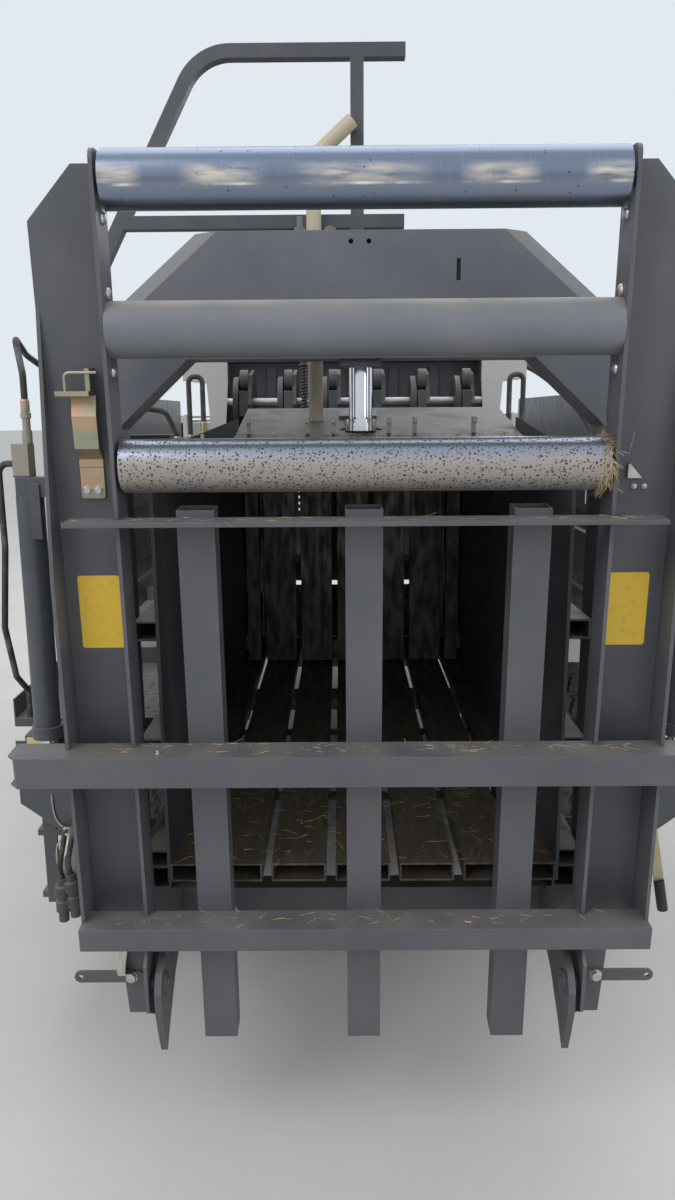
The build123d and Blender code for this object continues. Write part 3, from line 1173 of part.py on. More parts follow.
def side_door():
    """The right hand side door: a beaded sheet that hangs from the hinge rod."""
    y0, y1 = TWINE_BOX_Y[0] + 40, TWINE_BOX_Y[1] - 40
    head = DOOR_HINGE_Z - 24
    belly = DOOR_X + DOOR_BELLY
    belly_z = (DOOR_HINGE_Z - 940, DOOR_HINGE_Z - 390)
    beads = [DOOR_HINGE_Z + drop for drop in DOOR_BEADS]
    middle = beaded(belly, belly_z, reversed(beads), BEAD_DEPTH, DOOR_SHEET)
    count = len(middle) // 2
    inside = [(DOOR_X - 16, DOOR_FOOT)] + middle[:count] + [(DOOR_X + 6, head - 16)]
    sheet = plate_xz(inside + [(x + DOOR_SHEET, z) for x, z in reversed(inside)], (y0, y1))
    sheet += block((DOOR_X, DOOR_X + 18), (y0, y1), (head - 20, head))
    for y in (y0, y1 - SHEET):
        sheet += block((DOOR_X - 6, belly + 2), (y, y + SHEET), belly_z)
    ym = (y0 + y1) / 2
    grip_z = DOOR_FOOT + 90
    grip = block((DOOR_X + 2, DOOR_X + 34), (ym - DOOR_GRIP / 2, ym + DOOR_GRIP / 2), (grip_z, grip_z + 18))
    grip -= block((DOOR_X, DOOR_X + 24), (ym - DOOR_GRIP / 2 + 18, ym + DOOR_GRIP / 2 - 18), (grip_z - 1, grip_z + 19))
    sheet += grip
    for y in (y0 + 200, y1 - 260):
        sheet += rod((DOOR_X + 9, y, DOOR_HINGE_Z), (DOOR_X + 9, y + 60, DOOR_HINGE_Z), HINGE_ROD + 20)
        sheet += block((DOOR_X, DOOR_X + 18), (y, y + 60), (head, DOOR_HINGE_Z - 10))
    return sheet - rod((DOOR_X + 9, y0 - 1, DOOR_HINGE_Z), (DOOR_X + 9, y1 + 1, DOOR_HINGE_Z), HINGE_ROD + 2 * PIN_FIT)


def pickup_frame():
    """The pick-up's frame: arms on the hinge, side plates, cross tubes, strippers, wind guard."""
    y, z = REEL_Y, REEL_Z
    side = [(y - 330, z - 110), (y - 330, z + 200), (y - 60, z + 300), (y + 120, z + 240), (y + 60, z - 60),
            (y - 160, z - 170), (y - 260, z - 170)]
    plate = plate_yz(side, (PICKUP_HALF, PICKUP_HALF + 10)) - rod_x((PICKUP_HALF - 1, PICKUP_HALF + 11), y, z, REEL_SHAFT + 2 * PIN_FIT)
    arm = plate_yz([(PICKUP_PIVOT[0] - 45, PICKUP_PIVOT[1] + 30), (PICKUP_PIVOT[0] + 45, PICKUP_PIVOT[1] + 34),
                    (y - 280, z + 184), (y - 282, z + 60), (y - 340, z + 40),
                    (PICKUP_PIVOT[0] - 45, PICKUP_PIVOT[1] - 40)], PICKUP_ARM_X)
    arm -= rod_x((PICKUP_ARM_X[0] - 1, PICKUP_ARM_X[1] + 1), *PICKUP_PIVOT, PICKUP_PIN + 2 * PIN_FIT)
    stub = rod_x((PICKUP_HALF + 10, GAUGE_X[1] + 8), y - 60, z + GAUGE_DROP, GAUGE_AXLE)
    gauge_arm = plate_yz([(y - 100, z + GAUGE_DROP - 30), (y - 20, z + GAUGE_DROP - 30), (y - 20, z - 40), (y - 100, z - 40)],
                         (PICKUP_HALF + 10, PICKUP_HALF + 22))
    right = plate + arm + stub + gauge_arm
    frame = right + mirror(right, about=Plane.YZ)
    frame += rod_x((-PICKUP_HALF, PICKUP_HALF), y - 215, z - 130, 60)
    frame += block((-PICKUP_HALF, PICKUP_HALF), (y - 330, y - 296), (z + STRIPPER_RADIUS - 12, z + STRIPPER_RADIUS))
    frame += rod_x((-PICKUP_HALF, PICKUP_HALF), y + 60, z + 250, 60)
    for step in range(GUARD_BARS):
        x = (step - (GUARD_BARS - 1) / 2) * 1.8 * PICKUP_HALF / (GUARD_BARS - 1)
        frame += plate_yz([(y + 60, z + 246), (y + 60, z + 254), (y - 120, z + 250), (y - 270, z + 214), (y - 268, z + 206),
                           (y - 119, z + 242)], (x - 12, x + 12))
    pitch = 2 * PICKUP_HALF / STRIPPERS
    for index in range(STRIPPERS):
        x = -PICKUP_HALF + pitch * (index + 0.5)
        span = (x - pitch * 0.34, x + pitch * 0.34)
        band = ring_sector((y, z), (STRIPPER_RADIUS - 4, STRIPPER_RADIUS), (-150, 90), span)
        band += block(span, (y - 310, y), (z + STRIPPER_RADIUS - 4, z + STRIPPER_RADIUS))
        band += ring_sector((y, z), (STRIPPER_RADIUS - 4, 242), (-152, -149), span)
        frame += band
    return frame


def pickup_reel():
    """The tine reel: a shaft with discs, five bars and a bent tine in each gap."""
    y, z = REEL_Y, REEL_Z
    end = PICKUP_HALF - 6
    pitch = 2 * PICKUP_HALF / STRIPPERS
    reel = rod_x((-end, end), y, z, 90) + rod_x((-PICKUP_HALF - 10, PICKUP_HALF + 10), y, z, REEL_SHAFT)
    for x in (-end, -4, end - 8):
        reel += rod_x((x, x + 8), y, z, 2 * REEL_BAR_RADIUS + 70)
    outer = REEL_BAR_RADIUS + 15
    bar = block((-end, end), (REEL_BAR_RADIUS - 15, outer), (-15, 15))
    tine = [(outer - 5, -2), (outer - 5, -10), (outer + 34, -15), (TINE_RADIUS - 2, -34), (TINE_RADIUS - 1, -27),
            (outer + 35, -7)]
    for gap in range(1, STRIPPERS):
        x = -PICKUP_HALF + pitch * gap
        bar += plate_yz(tine, (x - 4, x + 4))
    for step in range(REEL_BARS):
        reel += Location((0, y, z), (360 / REEL_BARS * step, 0, 0)) * bar
    return reel


def tyre(width, radius, rim_radius):
    """A tyre as a turned ring about its axis, with sloped sidewalls and shoulders."""
    half = width / 2
    wall = radius - rim_radius
    flank = [
        (rim_radius, 0.80 * half),
        (rim_radius + 0.18 * wall, 0.96 * half),
        (rim_radius + 0.50 * wall, half),
        (radius - 0.20 * wall, 0.95 * half),
        (radius - 0.04 * wall, 0.84 * half),
        (radius, 0.66 * half),
    ]
    outline = flank + [(r, -across) for r, across in reversed(flank)]
    return revolve(Plane.XZ * Polygon(*outline, align=None), axis=Axis.Z)


def rim(width, rim_radius, bore):
    """A wheel rim: the barrel, a dished disc with holes and the hub."""
    half = width / 2 * 0.8
    barrel = Cylinder(rim_radius, 2 * half) - Cylinder(rim_radius - 14, 2 * half + 2)
    disc = Pos(0, 0, 30) * Cylinder(rim_radius - 14, 14)
    for step in range(RIM_HOLES):
        disc -= Rot(0, 0, 360 / RIM_HOLES * step) * Pos(rim_radius * 0.68, 0, 30) * Cylinder(26, 20)
    hub = Pos(0, 0, 10) * Cylinder(bore / 2 + 55, 130)
    wheel = barrel + disc + hub
    return wheel - Cylinder(bore / 2 + PIN_FIT, 400)


def gauge_wheel():
    """A small solid gauge wheel with bevelled edges and a dished hub."""
    width = GAUGE_X[1] - GAUGE_X[0]
    wheel = Cylinder(GAUGE_RADIUS, width)
    wheel = chamfer(wheel.edges(), 18)
    for z in (-width / 2, width / 2):
        wheel -= Pos(0, 0, z) * Cylinder(GAUGE_RADIUS * 0.55, 40)
    wheel += Cylinder(45, width)
    return wheel - Cylinder(GAUGE_AXLE / 2 + PIN_FIT, width + 2)


def build_wheels():
    """The four wheels of the tandem and the two gauge wheels of the pick-up."""
    x = WHEEL_X
    for side, sign in (("right", 1), ("left", -1)):
        for place, y in WHEEL_Y.items():
            axis = ((sign * x, y, WHEEL_RADIUS), (sign, 0, 0))
            save(f"tyre_{side}_{place}", turned(tyre(TYRE_WIDTH, WHEEL_RADIUS, RIM_RADIUS), *axis))
            save(f"rim_{side}_{place}", turned(rim(TYRE_WIDTH, RIM_RADIUS, STUB_AXLE), *axis))
        middle = sign * (GAUGE_X[0] + GAUGE_X[1]) / 2
        place = (middle, REEL_Y - 60, REEL_Z + GAUGE_DROP)
        save(f"gauge_wheel_{side}", turned(gauge_wheel(), place, (sign, 0, 0)))


def build_root():
    barrel, shaft = middle_cylinder()
    side_barrel, side_shaft = side_cylinder()
    pieces = {
        "chassis_rails": [chassis_rails()],
        "rear_cross_beam": [rear_cross_beam()],
        "axle_beams": [axle_beams()],
        "chamber_floor": chamber_floor(),
        "chamber_wall_right": chamber_wall(),
        "chamber_wall_left": [mirror(piece, about=Plane.YZ) for piece in chamber_wall()],
        "chamber_roof": chamber_roof(),
        "density_frame": [density_frame()],
        "density_barrels": [barrel] + both_sides(side_barrel),
        "density_rods": [shaft] + both_sides(side_shaft),
        "roof_cross_plate": [roof_cross_plate()],
        "plunger": [plunger()],
        "needle_yoke": [needle_yoke()],
        "knotter_table": [knotter_table()],
        "knotters": [knotter(x) for x in TWINE_LANES],
        "knotter_panels": both_sides(knotter_panel()),
        "hydraulic_hoses": hoses(),
        "knotter_shaft": [rod_x((-WALL_OUT - 20, WALL_OUT + 20), KNOTTER_Y, KNOTTER_SHAFT_Z, KNOTTER_SHAFT)],
        "gearbox": [gearbox()],
        "flywheel": [flywheel()],
        "flywheel_guard": [flywheel_guard()],
        "drawbar": [drawbar()],
        "hitch_ring": [hitch_ring()],
        "jack_tube": [jack_tube()],
        "jack_leg": [jack_leg()],
        "drive_shaft": [pto_shaft()],
        "front_hood": [front_hood()],
        "feeder_duct": [feeder_duct()],
        "handrail": [handrail()],
        "goose_neck_pipe": [goose_neck_pipe()],
        "platform": [platform()],
        "ladder": [ladder()],
        "rear_bulkheads": both_sides(rear_bulkhead()),
        "rear_lamps": both_sides(lamp(960)),
        "side_shields": all_on_both_sides(side_shield()),
        "twine_boxes": all_on_both_sides(twine_box()),
        "side_door_right": [side_door()],
        "side_door_left": [mirror(side_door(), about=Plane.YZ)],
        "pickup_hangers": both_sides(pickup_hanger()),
        "pickup_frame": [pickup_frame()],
        "pickup_reel": [pickup_reel()],
    }
    for name, solids in pieces.items():
        save(name, *solids)


def pickup_hanger():
    """The right hand bracket and pin under the rail that the pick-up hangs on."""
    y, z = PICKUP_PIVOT
    plate = plate_yz([(y - 90, RAIL_BOTTOM), (y + 90, RAIL_BOTTOM), (y + 40, z - 34), (y - 40, z - 34)],
                     (RAIL_INNER, RAIL_INNER + 14))
    return plate + rod_x((RAIL_INNER, PICKUP_ARM_X[1] + 10), y, z, PICKUP_PIN)


def main():
    os.makedirs("parts", exist_ok=True)
    build_chute()
    build_root()
    build_wheels()


main()
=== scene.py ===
"""Large square baler, seen from behind with its chute folded up."""
import json
from math import cos, pi, radians, sin

import bpy
import numpy as np
from mathutils import Matrix


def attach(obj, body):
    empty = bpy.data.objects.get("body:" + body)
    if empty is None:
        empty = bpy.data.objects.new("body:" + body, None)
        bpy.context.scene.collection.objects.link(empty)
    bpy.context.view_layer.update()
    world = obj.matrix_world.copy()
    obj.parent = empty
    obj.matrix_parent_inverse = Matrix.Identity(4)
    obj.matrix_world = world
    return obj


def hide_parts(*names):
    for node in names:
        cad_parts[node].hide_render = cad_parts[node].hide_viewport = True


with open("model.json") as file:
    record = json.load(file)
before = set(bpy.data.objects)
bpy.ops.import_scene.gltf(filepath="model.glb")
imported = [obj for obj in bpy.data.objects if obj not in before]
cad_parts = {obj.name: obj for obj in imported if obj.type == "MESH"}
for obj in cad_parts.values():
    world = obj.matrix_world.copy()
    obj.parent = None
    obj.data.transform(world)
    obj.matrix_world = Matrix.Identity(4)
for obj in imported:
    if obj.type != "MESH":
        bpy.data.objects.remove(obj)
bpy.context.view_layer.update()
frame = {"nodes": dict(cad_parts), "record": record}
nodes = frame["nodes"]

# Camera: the place, turn and focal length that fit the photograph's frame
IMAGE_HEIGHT = 1200
FOCAL_PIXELS = 890.5
CAMERA_PLACE = (-0.060, -6.601, 2.300)
CAMERA_PITCH = -11.76
CAMERA_YAW = -0.29
CAMERA_ROLL = -0.42
SENSOR = 36.0
CAMERA_REACH = 300.0

# The chute's hinge line and how far the folded chute leans back
CHUTE_PIVOT = (0.0, -4.2, 0.62)
CHUTE_LEAN = radians(3.8)
CHUTE_DECK = 0.110
CHUTE_SHEET = 0.010
CHUTE_WEB = CHUTE_DECK - CHUTE_SHEET
CHUTE_INNER = 0.640
ROLLER_DEPTH = 0.060
LOW_ROLLER_UP = 1.551
TOP_ROLLER_UP = 2.240
ROLLER_RADIUS = 0.070

SIDES = (("left", -1), ("right", 1))


def chute_point(across, deep, up):
    """A place on the folded chute: across, towards the chamber and up along it."""
    y = CHUTE_PIVOT[1] + deep * cos(CHUTE_LEAN) - up * sin(CHUTE_LEAN)
    z = CHUTE_PIVOT[2] + deep * sin(CHUTE_LEAN) + up * cos(CHUTE_LEAN)
    return np.stack(np.broadcast_arrays(across, y, z), axis=-1)


def linear(colour):
    """An sRGB hex colour as the linear red, green, blue and alpha that a socket takes."""
    parts = [int(colour[i:i + 2], 16) / 255 for i in (1, 3, 5)]
    return [c / 12.92 if c <= 0.04045 else ((c + 0.055) / 1.055) ** 2.4 for c in parts] + [1.0]


def feed(tree, node, inputs):
    """Gives a node its inputs: each is a value or another node's socket."""
    for key, value in inputs.items():
        if isinstance(value, bpy.types.NodeSocket):
            tree.links.new(value, node.inputs[key])
        else:
            node.inputs[key].default_value = value


def add(tree, kind, inputs=None, **settings):
    """Adds a node with its settings and its inputs."""
    made = tree.nodes.new("ShaderNode" + kind)
    for key, value in settings.items():
        setattr(made, key, value)
    feed(tree, made, inputs or {})
    return made


def new_finish(name):
    """An empty material: its tree, its shader and the point on the object in metres."""
    material = bpy.data.materials.new(name)
    material.use_nodes = True
    tree = material.node_tree
    tree.nodes.clear()
    shader = add(tree, "BsdfPrincipled")
    add(tree, "OutputMaterial", {"Surface": shader.outputs[0]})
    return material, tree, shader, add(tree, "TexCoord").outputs["Object"]


def ramp(tree, value, low, high):
    """A value between two limits, as a factor that runs from 0 to 1."""
    return add(tree, "MapRange", {"Value": value, "From Min": low, "From Max": high}).outputs[0]


def spread(tree, factor, low, high):
    """A factor from 0 to 1, as a value between two limits."""
    return add(tree, "MapRange", {"Value": factor, "To Min": low, "To Max": high}).outputs[0]


def combine(tree, operation, one, other=0.0):
    """Two factors worked into one, or one of them worked on by itself."""
    return add(tree, "Math", {0: one, 1: other}, operation=operation).outputs[0]


def product(tree, one, other):
    """One factor times another."""
    return combine(tree, "MULTIPLY", one, other)


def on_vector(tree, operation, one, other=(0, 0, 0)):
    """Two vectors worked into one, or one of them worked on by itself."""
    return add(tree, "VectorMath", {0: one, 1: other}, operation=operation).outputs[0]


def share_along(tree, vector, axis):
    """A vector's share along the X, Y or Z axis."""
    return add(tree, "SeparateXYZ", {0: vector}).outputs[axis]


def distance_from(tree, value, place):
    """How far a value is from a place, either way."""
    return combine(tree, "ABSOLUTE", combine(tree, "ADD", value, -place))


def blotches(tree, point, size, low, high, detail=4.0, stretch=(1, 1, 1)):
    """Patches about `size` metres wide, as a factor that runs from 0 to 1."""
    place = add(tree, "Mapping", {"Vector": point, "Scale": stretch}).outputs[0]
    noise = add(tree, "TexNoise", {"Vector": place, "Scale": 1 / size, "Detail": detail}).outputs["Fac"]
    return ramp(tree, noise, low, high)


def mixed(tree, factor, below, above):
    """One colour over another where the factor is high."""
    colours = {"A": below, "B": above}
    made = add(tree, "Mix", {"Factor": factor}, data_type="RGBA")
    for socket in (s for s in made.inputs if s.type == "RGBA"):
        value = colours[socket.name]
        if isinstance(value, str):
            socket.default_value = linear(value)
        else:
            tree.links.new(value, socket)
    return next(s for s in made.outputs if s.type == "RGBA")


def covered(tree, below, factor, share, above):
    """One colour over another where the factor is high, and only by a share."""
    return mixed(tree, product(tree, factor, share), below, above)


def face_normal(tree):
    """The way the surface faces."""
    return add(tree, "NewGeometry").outputs["Normal"]


def soft_normal(tree, radius):
    """The way the surface faces, with its edges rounded by a radius in metres."""
    return add(tree, "Bevel", {"Radius": radius}, samples=4).outputs[0]


def edge_wear(tree, soft):
    """Where the surface bends sharply: there its own normal departs from the soft one."""
    same = add(tree, "VectorMath", {0: soft, 1: face_normal(tree)}, operation="DOT_PRODUCT")
    return ramp(tree, same.outputs["Value"], 0.995, 0.9)


def facing_up(tree):
    """How level a surface lies, where dust settles."""
    return ramp(tree, share_along(tree, face_normal(tree), "Z"), 0.35, 0.95)


def grain_bump(tree, point, size, depth, normal):
    """Fine unevenness of a surface: grains of one size, a given depth in metres."""
    noise = add(tree, "TexNoise", {"Vector": point, "Scale": 1 / size, "Detail": 3.0}).outputs["Fac"]
    sockets = {"Height": noise, "Distance": depth, "Strength": 1.0, "Normal": normal}
    return add(tree, "Bump", sockets).outputs[0]


def within_box(tree, point, low, high):
    """One inside a box given by its lowest and highest corner, nothing outside."""
    middle = [(a + b) / 2 for a, b in zip(low, high)]
    half = [(b - a) / 2 for a, b in zip(low, high)]
    away = on_vector(tree, "ABSOLUTE", on_vector(tree, "SUBTRACT", point, middle))
    x, y, z = add(tree, "SeparateXYZ", {0: on_vector(tree, "SUBTRACT", away, half)}).outputs
    furthest = combine(tree, "MAXIMUM", combine(tree, "MAXIMUM", x, y), z)
    return combine(tree, "LESS_THAN", furthest, 0.0)


def painted_steel(name, paint, faded, dust, rough=0.42, dusty=0.5, inside=None, bare=None):
    """Powder coated folded steel: even and half gloss, chalky in patches, with
    field dust on what lies level and paler rubbed edges. A side panel's face that
    looks towards the machine's middle plane may have a darker colour, as painted shade,
    and the fittings within a box may be left as dusty zinc."""
    material, tree, shader, point = new_finish(name)
    soft = soft_normal(tree, 0.003)
    colour = mixed(tree, blotches(tree, point, 0.35, 0.35, 0.75), paint, faded)
    if inside:
        # Faces that look towards the middle plane get the darker colour: painted shade
        outward = product(tree, share_along(tree, point, "X"), share_along(tree, face_normal(tree), "X"))
        colour = mixed(tree, combine(tree, "LESS_THAN", outward, -0.2), colour, inside)
    if bare:
        left_bare = within_box(tree, point, *bare)
        colour = mixed(tree, left_bare, colour, "#9c968a")
        feed(tree, shader, {"Metallic": product(tree, left_bare, 0.6)})
    film = blotches(tree, point, 0.09, 0.50, 0.78, detail=8.0)
    settled = product(tree, facing_up(tree), blotches(tree, point, 0.15, 0.2, 0.7, detail=6.0))
    colour = covered(tree, colour, film, dusty * 0.2, dust)
    colour = covered(tree, colour, settled, dusty, dust)
    colour = covered(tree, colour, edge_wear(tree, soft), 0.35, dust)
    # Orange peel of the coat, drawn at 4 mm so that it shows from here
    peel = grain_bump(tree, point, 0.004, 0.00005, soft)
    gloss = spread(tree, film, rough, rough + 0.25)
    feed(tree, shader, {"Base Color": colour, "Roughness": gloss, "Normal": peel})
    return material


def bare_steel(name, steel, dirt, rough=0.35, dirty=0.5, grain=(1, 14, 1), size=0.05):
    """Bare rolled or turned steel: brushed along its work, with brown dirt in films."""
    material, tree, shader, point = new_finish(name)
    film = blotches(tree, point, size, 0.40, 0.70, detail=8.0)
    streak = blotches(tree, point, 0.02, 0.3, 0.7, stretch=grain)
    feed(tree, shader, {
        "Base Color": covered(tree, steel, film, dirty, dirt),
        "Metallic": 1.0,
        "Roughness": spread(tree, streak, rough, rough + 0.2),
        "Normal": grain_bump(tree, point, 0.006, 0.00006, soft_normal(tree, 0.002)),
    })
    return material


def passivated_zinc(name):
    """Zinc plate with a yellow passivated skin: its colour drifts between straw, pink
    and a greyish green, under thin field dust."""
    material, tree, shader, point = new_finish(name)
    green = blotches(tree, point, 0.09, 0.42, 0.60, detail=2.0, stretch=(0.5, 1, 1.6))
    pink = blotches(tree, point, 0.05, 0.48, 0.66, detail=2.0, stretch=(0.5, 1, 1.2))
    dust = blotches(tree, point, 0.02, 0.5, 0.8, detail=7.0)
    colour = mixed(tree, green, "#b5a68a", "#97a18c")
    colour = covered(tree, colour, pink, 0.7, "#c69a7c")
    colour = covered(tree, colour, dust, 0.5, "#9b8f78")
    bump = grain_bump(tree, point, 0.006, 0.00005, soft_normal(tree, 0.0015))
    feed(tree, shader, {"Base Color": colour, "Metallic": 0.75, "Roughness": 0.42, "Normal": bump})
    return material


def rolled_floor(name):
    """Floor and roof channels under the crop: steel rubbed bright and browned by sap."""
    material, tree, shader, point = new_finish(name)
    brown = blotches(tree, point, 0.12, 0.35, 0.7, detail=8.0, stretch=(4, 0.6, 1))
    colour = mixed(tree, brown, "#6f6a63", "#4b3f34")
    colour = covered(tree, colour, facing_up(tree), 0.3, "#8c7d66")
    bump = grain_bump(tree, point, 0.01, 0.0001, soft_normal(tree, 0.002))
    feed(tree, shader, {"Base Color": colour, "Metallic": 0.55, "Roughness": spread(tree, brown, 0.38, 0.7),
                        "Normal": bump})
    return material


# Where crop has rubbed pale marks along the top roller, their pale colour partly a painted reflection of the
# ground: middle and half length
PALE_MARK_PLACES = ((-0.589, 0.070), (-0.336, 0.105), (-0.010, 0.175), (0.320, 0.100), (0.580, 0.070))
# Heights of the pale band (smears and painted reflection) and of the painted highlight line below it
PALE_BAND_HEIGHT = -0.006
PAINTED_HIGHLIGHT_HEIGHT = -0.026


def smears_with_painted_reflection(tree, local, colour):
    """Pale smears along the side that faces back, partly a painted reflection of the ground, in a few places
    with a bright line below them that is a painted highlight: the new colour, and where the tube is dull from
    them."""
    across = share_along(tree, local, "X")
    height = share_along(tree, local, "Z")
    places = None
    for middle, half in PALE_MARK_PLACES:
        here = ramp(tree, distance_from(tree, across, middle), half, 0.4 * half)
        places = here if places is None else combine(tree, "MAXIMUM", places, here)
    band = ramp(tree, distance_from(tree, height, PALE_BAND_HEIGHT), 0.030, 0.004)
    streaks = blotches(tree, local, 0.05, 0.30, 0.62, detail=9.0, stretch=(0.5, 1, 3.2))
    smear_and_reflection = product(tree, product(tree, band, streaks), places)
    line = ramp(tree, distance_from(tree, height, PAINTED_HIGHLIGHT_HEIGHT), 0.004, 0.0015)
    painted_highlight = product(tree, line, blotches(tree, local, 0.12, 0.45, 0.6, detail=5.0, stretch=(1, 0.2, 0.2)))
    # cdc4b4: pale colour of the smears and the painted reflection of the ground
    colour = mixed(tree, smear_and_reflection, colour, "#cdc4b4")
    # f1ede2: near-white line, a painted highlight
    return mixed(tree, product(tree, painted_highlight, places), colour, "#f1ede2"), smear_and_reflection


def painted_ground_reflection(tree, local, colour):
    """Painted reflection of the pale ground, drawn as a pale film on the tube, thickest on its
    lower part: the new colour, and where the tube is dull from it."""
    film = ramp(tree, share_along(tree, local, "Z"), 0.034, 0.012)
    film = product(tree, film, blotches(tree, local, 0.3, 0.0, 0.45, detail=5.0, stretch=(1, 3, 3)))
    # a3978a is the pale colour of the painted reflection of the ground
    return covered(tree, colour, film, 0.75, "#a3978a"), product(tree, film, 0.55)


def ragged_specks(tree, local, size, share):
    """Ragged dots in cells `size` metres wide, a share of which has one."""
    wander = add(tree, "TexNoise", {"Vector": local, "Scale": 1.5 / size, "Detail": 2.0}).outputs["Color"]
    shifted = on_vector(tree, "MULTIPLY", wander, (0.5 * size,) * 3)
    ragged = on_vector(tree, "ADD", local, shifted)
    dots = add(tree, "TexVoronoi", {"Vector": ragged, "Scale": 1 / size, "Randomness": 1.0}).outputs
    chance = add(tree, "SeparateColor", {0: dots["Color"]}).outputs[0]
    kept = ramp(tree, chance, 1 - share, 1.001 - share)
    return product(tree, ramp(tree, dots["Distance"], 0.34, 0.22), kept)


def polished_roller(name, steel, ringed_steel, up, specks, marks):
    """Polished steel tube at a height up the chute: fine marks run round it, `marks` lays on it pale smears
    with a painted reflection and a painted highlight (top roller) or a painted reflection of the ground (low
    roller), and dirt dries on it as dark specks."""
    material, tree, shader, point = new_finish(name)
    to_axis = tuple(-chute_point(0.0, ROLLER_DEPTH, up))
    local = add(tree, "Mapping", {"Vector": point, "Location": to_axis}).outputs[0]
    ringed = blotches(tree, local, 0.02, 0.3, 0.7, stretch=(9, 0.4, 0.4))
    colour, dull = marks(tree, local, mixed(tree, ringed, steel, ringed_steel))
    for size, share in specks:
        dots = ragged_specks(tree, local, size, share)
        colour = mixed(tree, dots, colour, "#41362e")
        dull = combine(tree, "MAXIMUM", dull, dots)
    feed(tree, shader, {
        "Base Color": colour,
        "Metallic": spread(tree, dull, 1.0, 0.15),
        "Roughness": spread(tree, dull, 0.30, 0.7),
        "Normal": grain_bump(tree, local, 0.03, 0.0001, face_normal(tree)),
    })
    return material


def hard_chrome(name):
    """Hard chrome on a ground rod: mirror bright, with a thin film of oil."""
    material, tree, shader, point = new_finish(name)
    film = blotches(tree, point, 0.06, 0.5, 0.8)
    colour = covered(tree, "#d6d9dd", film, 0.4, "#9a948a")
    feed(tree, shader, {"Base Color": colour, "Metallic": 1.0, "Roughness": spread(tree, film, 0.07, 0.2)})
    return material


def tyre_rubber(name):
    """Cured tyre rubber: dull black, greyed by dust in patches and paler on its edges."""
    material, tree, shader, point = new_finish(name)
    soft = soft_normal(tree, 0.004)
    dust = blotches(tree, point, 0.35, 0.25, 0.8, detail=10.0)
    colour = covered(tree, "#262627", dust, 0.42, "#5d564c")
    colour = covered(tree, colour, edge_wear(tree, soft), 0.35, "#6d655a")
    bump = grain_bump(tree, point, 0.006, 0.0002, soft)
    feed(tree, shader, {"Base Color": colour, "Roughness": 0.78, "Normal": bump})
    return material


def moulded_plastic(name, colour, dust, rough=0.5):
    """Moulded plastic or rubber: even colour, fine grain, dust in patches."""
    material, tree, shader, point = new_finish(name)
    film = blotches(tree, point, 0.05, 0.5, 0.8, detail=6.0)
    bump = grain_bump(tree, point, 0.002, 0.00008, soft_normal(tree, 0.002))
    colour = covered(tree, colour, film, 0.5, dust)
    feed(tree, shader, {"Base Color": colour, "Roughness": rough, "Normal": bump})
    return material


def lamp_lens(name, colour):
    """Acrylic lens: clear colour with prisms pressed in rows a few millimetres apart."""
    material, tree, shader, point = new_finish(name)
    waves = add(tree, "TexWave", {"Vector": point, "Scale": 40.0}, bands_direction="X").outputs["Fac"]
    bump = add(tree, "Bump", {"Height": waves, "Distance": 0.0015, "Strength": 1.0}).outputs[0]
    feed(tree, shader, {"Base Color": linear(colour), "Roughness": 0.12, "IOR": 1.49, "Coat Weight": 0.6,
                        "Normal": bump})
    return material


def enamel_sheet(name, colour):
    """Enamel on a thin plate: flat even colour, dulled and speckled by dust."""
    material, tree, shader, point = new_finish(name)
    film = blotches(tree, point, 0.02, 0.52, 0.85, detail=8.0)
    bump = grain_bump(tree, point, 0.003, 0.00004, face_normal(tree))
    feed(tree, shader, {"Base Color": covered(tree, colour, film, 0.45, "#8f7f55"), "Roughness": 0.45,
                        "Normal": bump})
    return material


def dry_straw(name):
    """Dry straw: pale gold stems, some browner, half dull."""
    material, tree, shader, point = new_finish(name)
    shade = blotches(tree, point, 0.02, 0.3, 0.7)
    feed(tree, shader, {"Base Color": mixed(tree, shade, "#cdb98a", "#9b8558"), "Roughness": 0.55})
    return material


LOW_SPECKS = ((0.0075, 0.80), (0.011, 0.65))
TOP_SPECKS = ((0.008, 0.02),)
FINISHES = {
    "dark_paint": painted_steel("powder_coat_dark_grey", "#43464b", "#4f5257", "#8b8172"),
    "chute_paint": painted_steel("powder_coat_blue_grey", "#4c4e53", "#58595d", "#857e74"),
    "worn_steel": rolled_floor("crop_rubbed_steel"),
    "chrome_rod": hard_chrome("hard_chrome_rod"),
    # The low roller's steel colours are tinted blue: painted reflection of the sky
    "roller_steel": polished_roller("polished_tube_specked", "#9fa6b4", "#9298a4", LOW_ROLLER_UP,
                                    LOW_SPECKS, painted_ground_reflection),
    "bright_steel": bare_steel("turned_steel", "#b4b4b2", "#7a6a58", 0.28, 0.4),
    "zinc": passivated_zinc("passivated_zinc_sheet"),
    "cast_paint": painted_steel("painted_casting", "#34363a", "#45474b", "#7a6d5a", 0.55, 0.8),
    # The darker colour of the faces that look towards the middle plane is painted shade
    "panel_paint": painted_steel("stove_enamel_pale_grey", "#a8a8a4", "#b2b2ae", "#9a8f7c", 0.35, 0.4,
                                 inside="#3c3f44"),
    "tyre_rubber": tyre_rubber("tyre_rubber"),
    "rim_paint": painted_steel("wheel_rim_enamel", "#9b9c9a", "#a8a8a5", "#8a7f6c", 0.4, 0.7),
    "guard_plastic": moulded_plastic("black_guard_polythene", "#1d1d1e", "#5a5348"),
    "pale_paint": painted_steel("beige_pipe_paint", "#b3a890", "#beb49d", "#9a8d74", 0.5, 0.6),
    "lamp_red": lamp_lens("red_acrylic_lens", "#8f1210"),
    "tine_steel": painted_steel("dipped_spring_steel", "#3a3c40", "#55524c", "#7d7261", 0.45, 0.7),
}
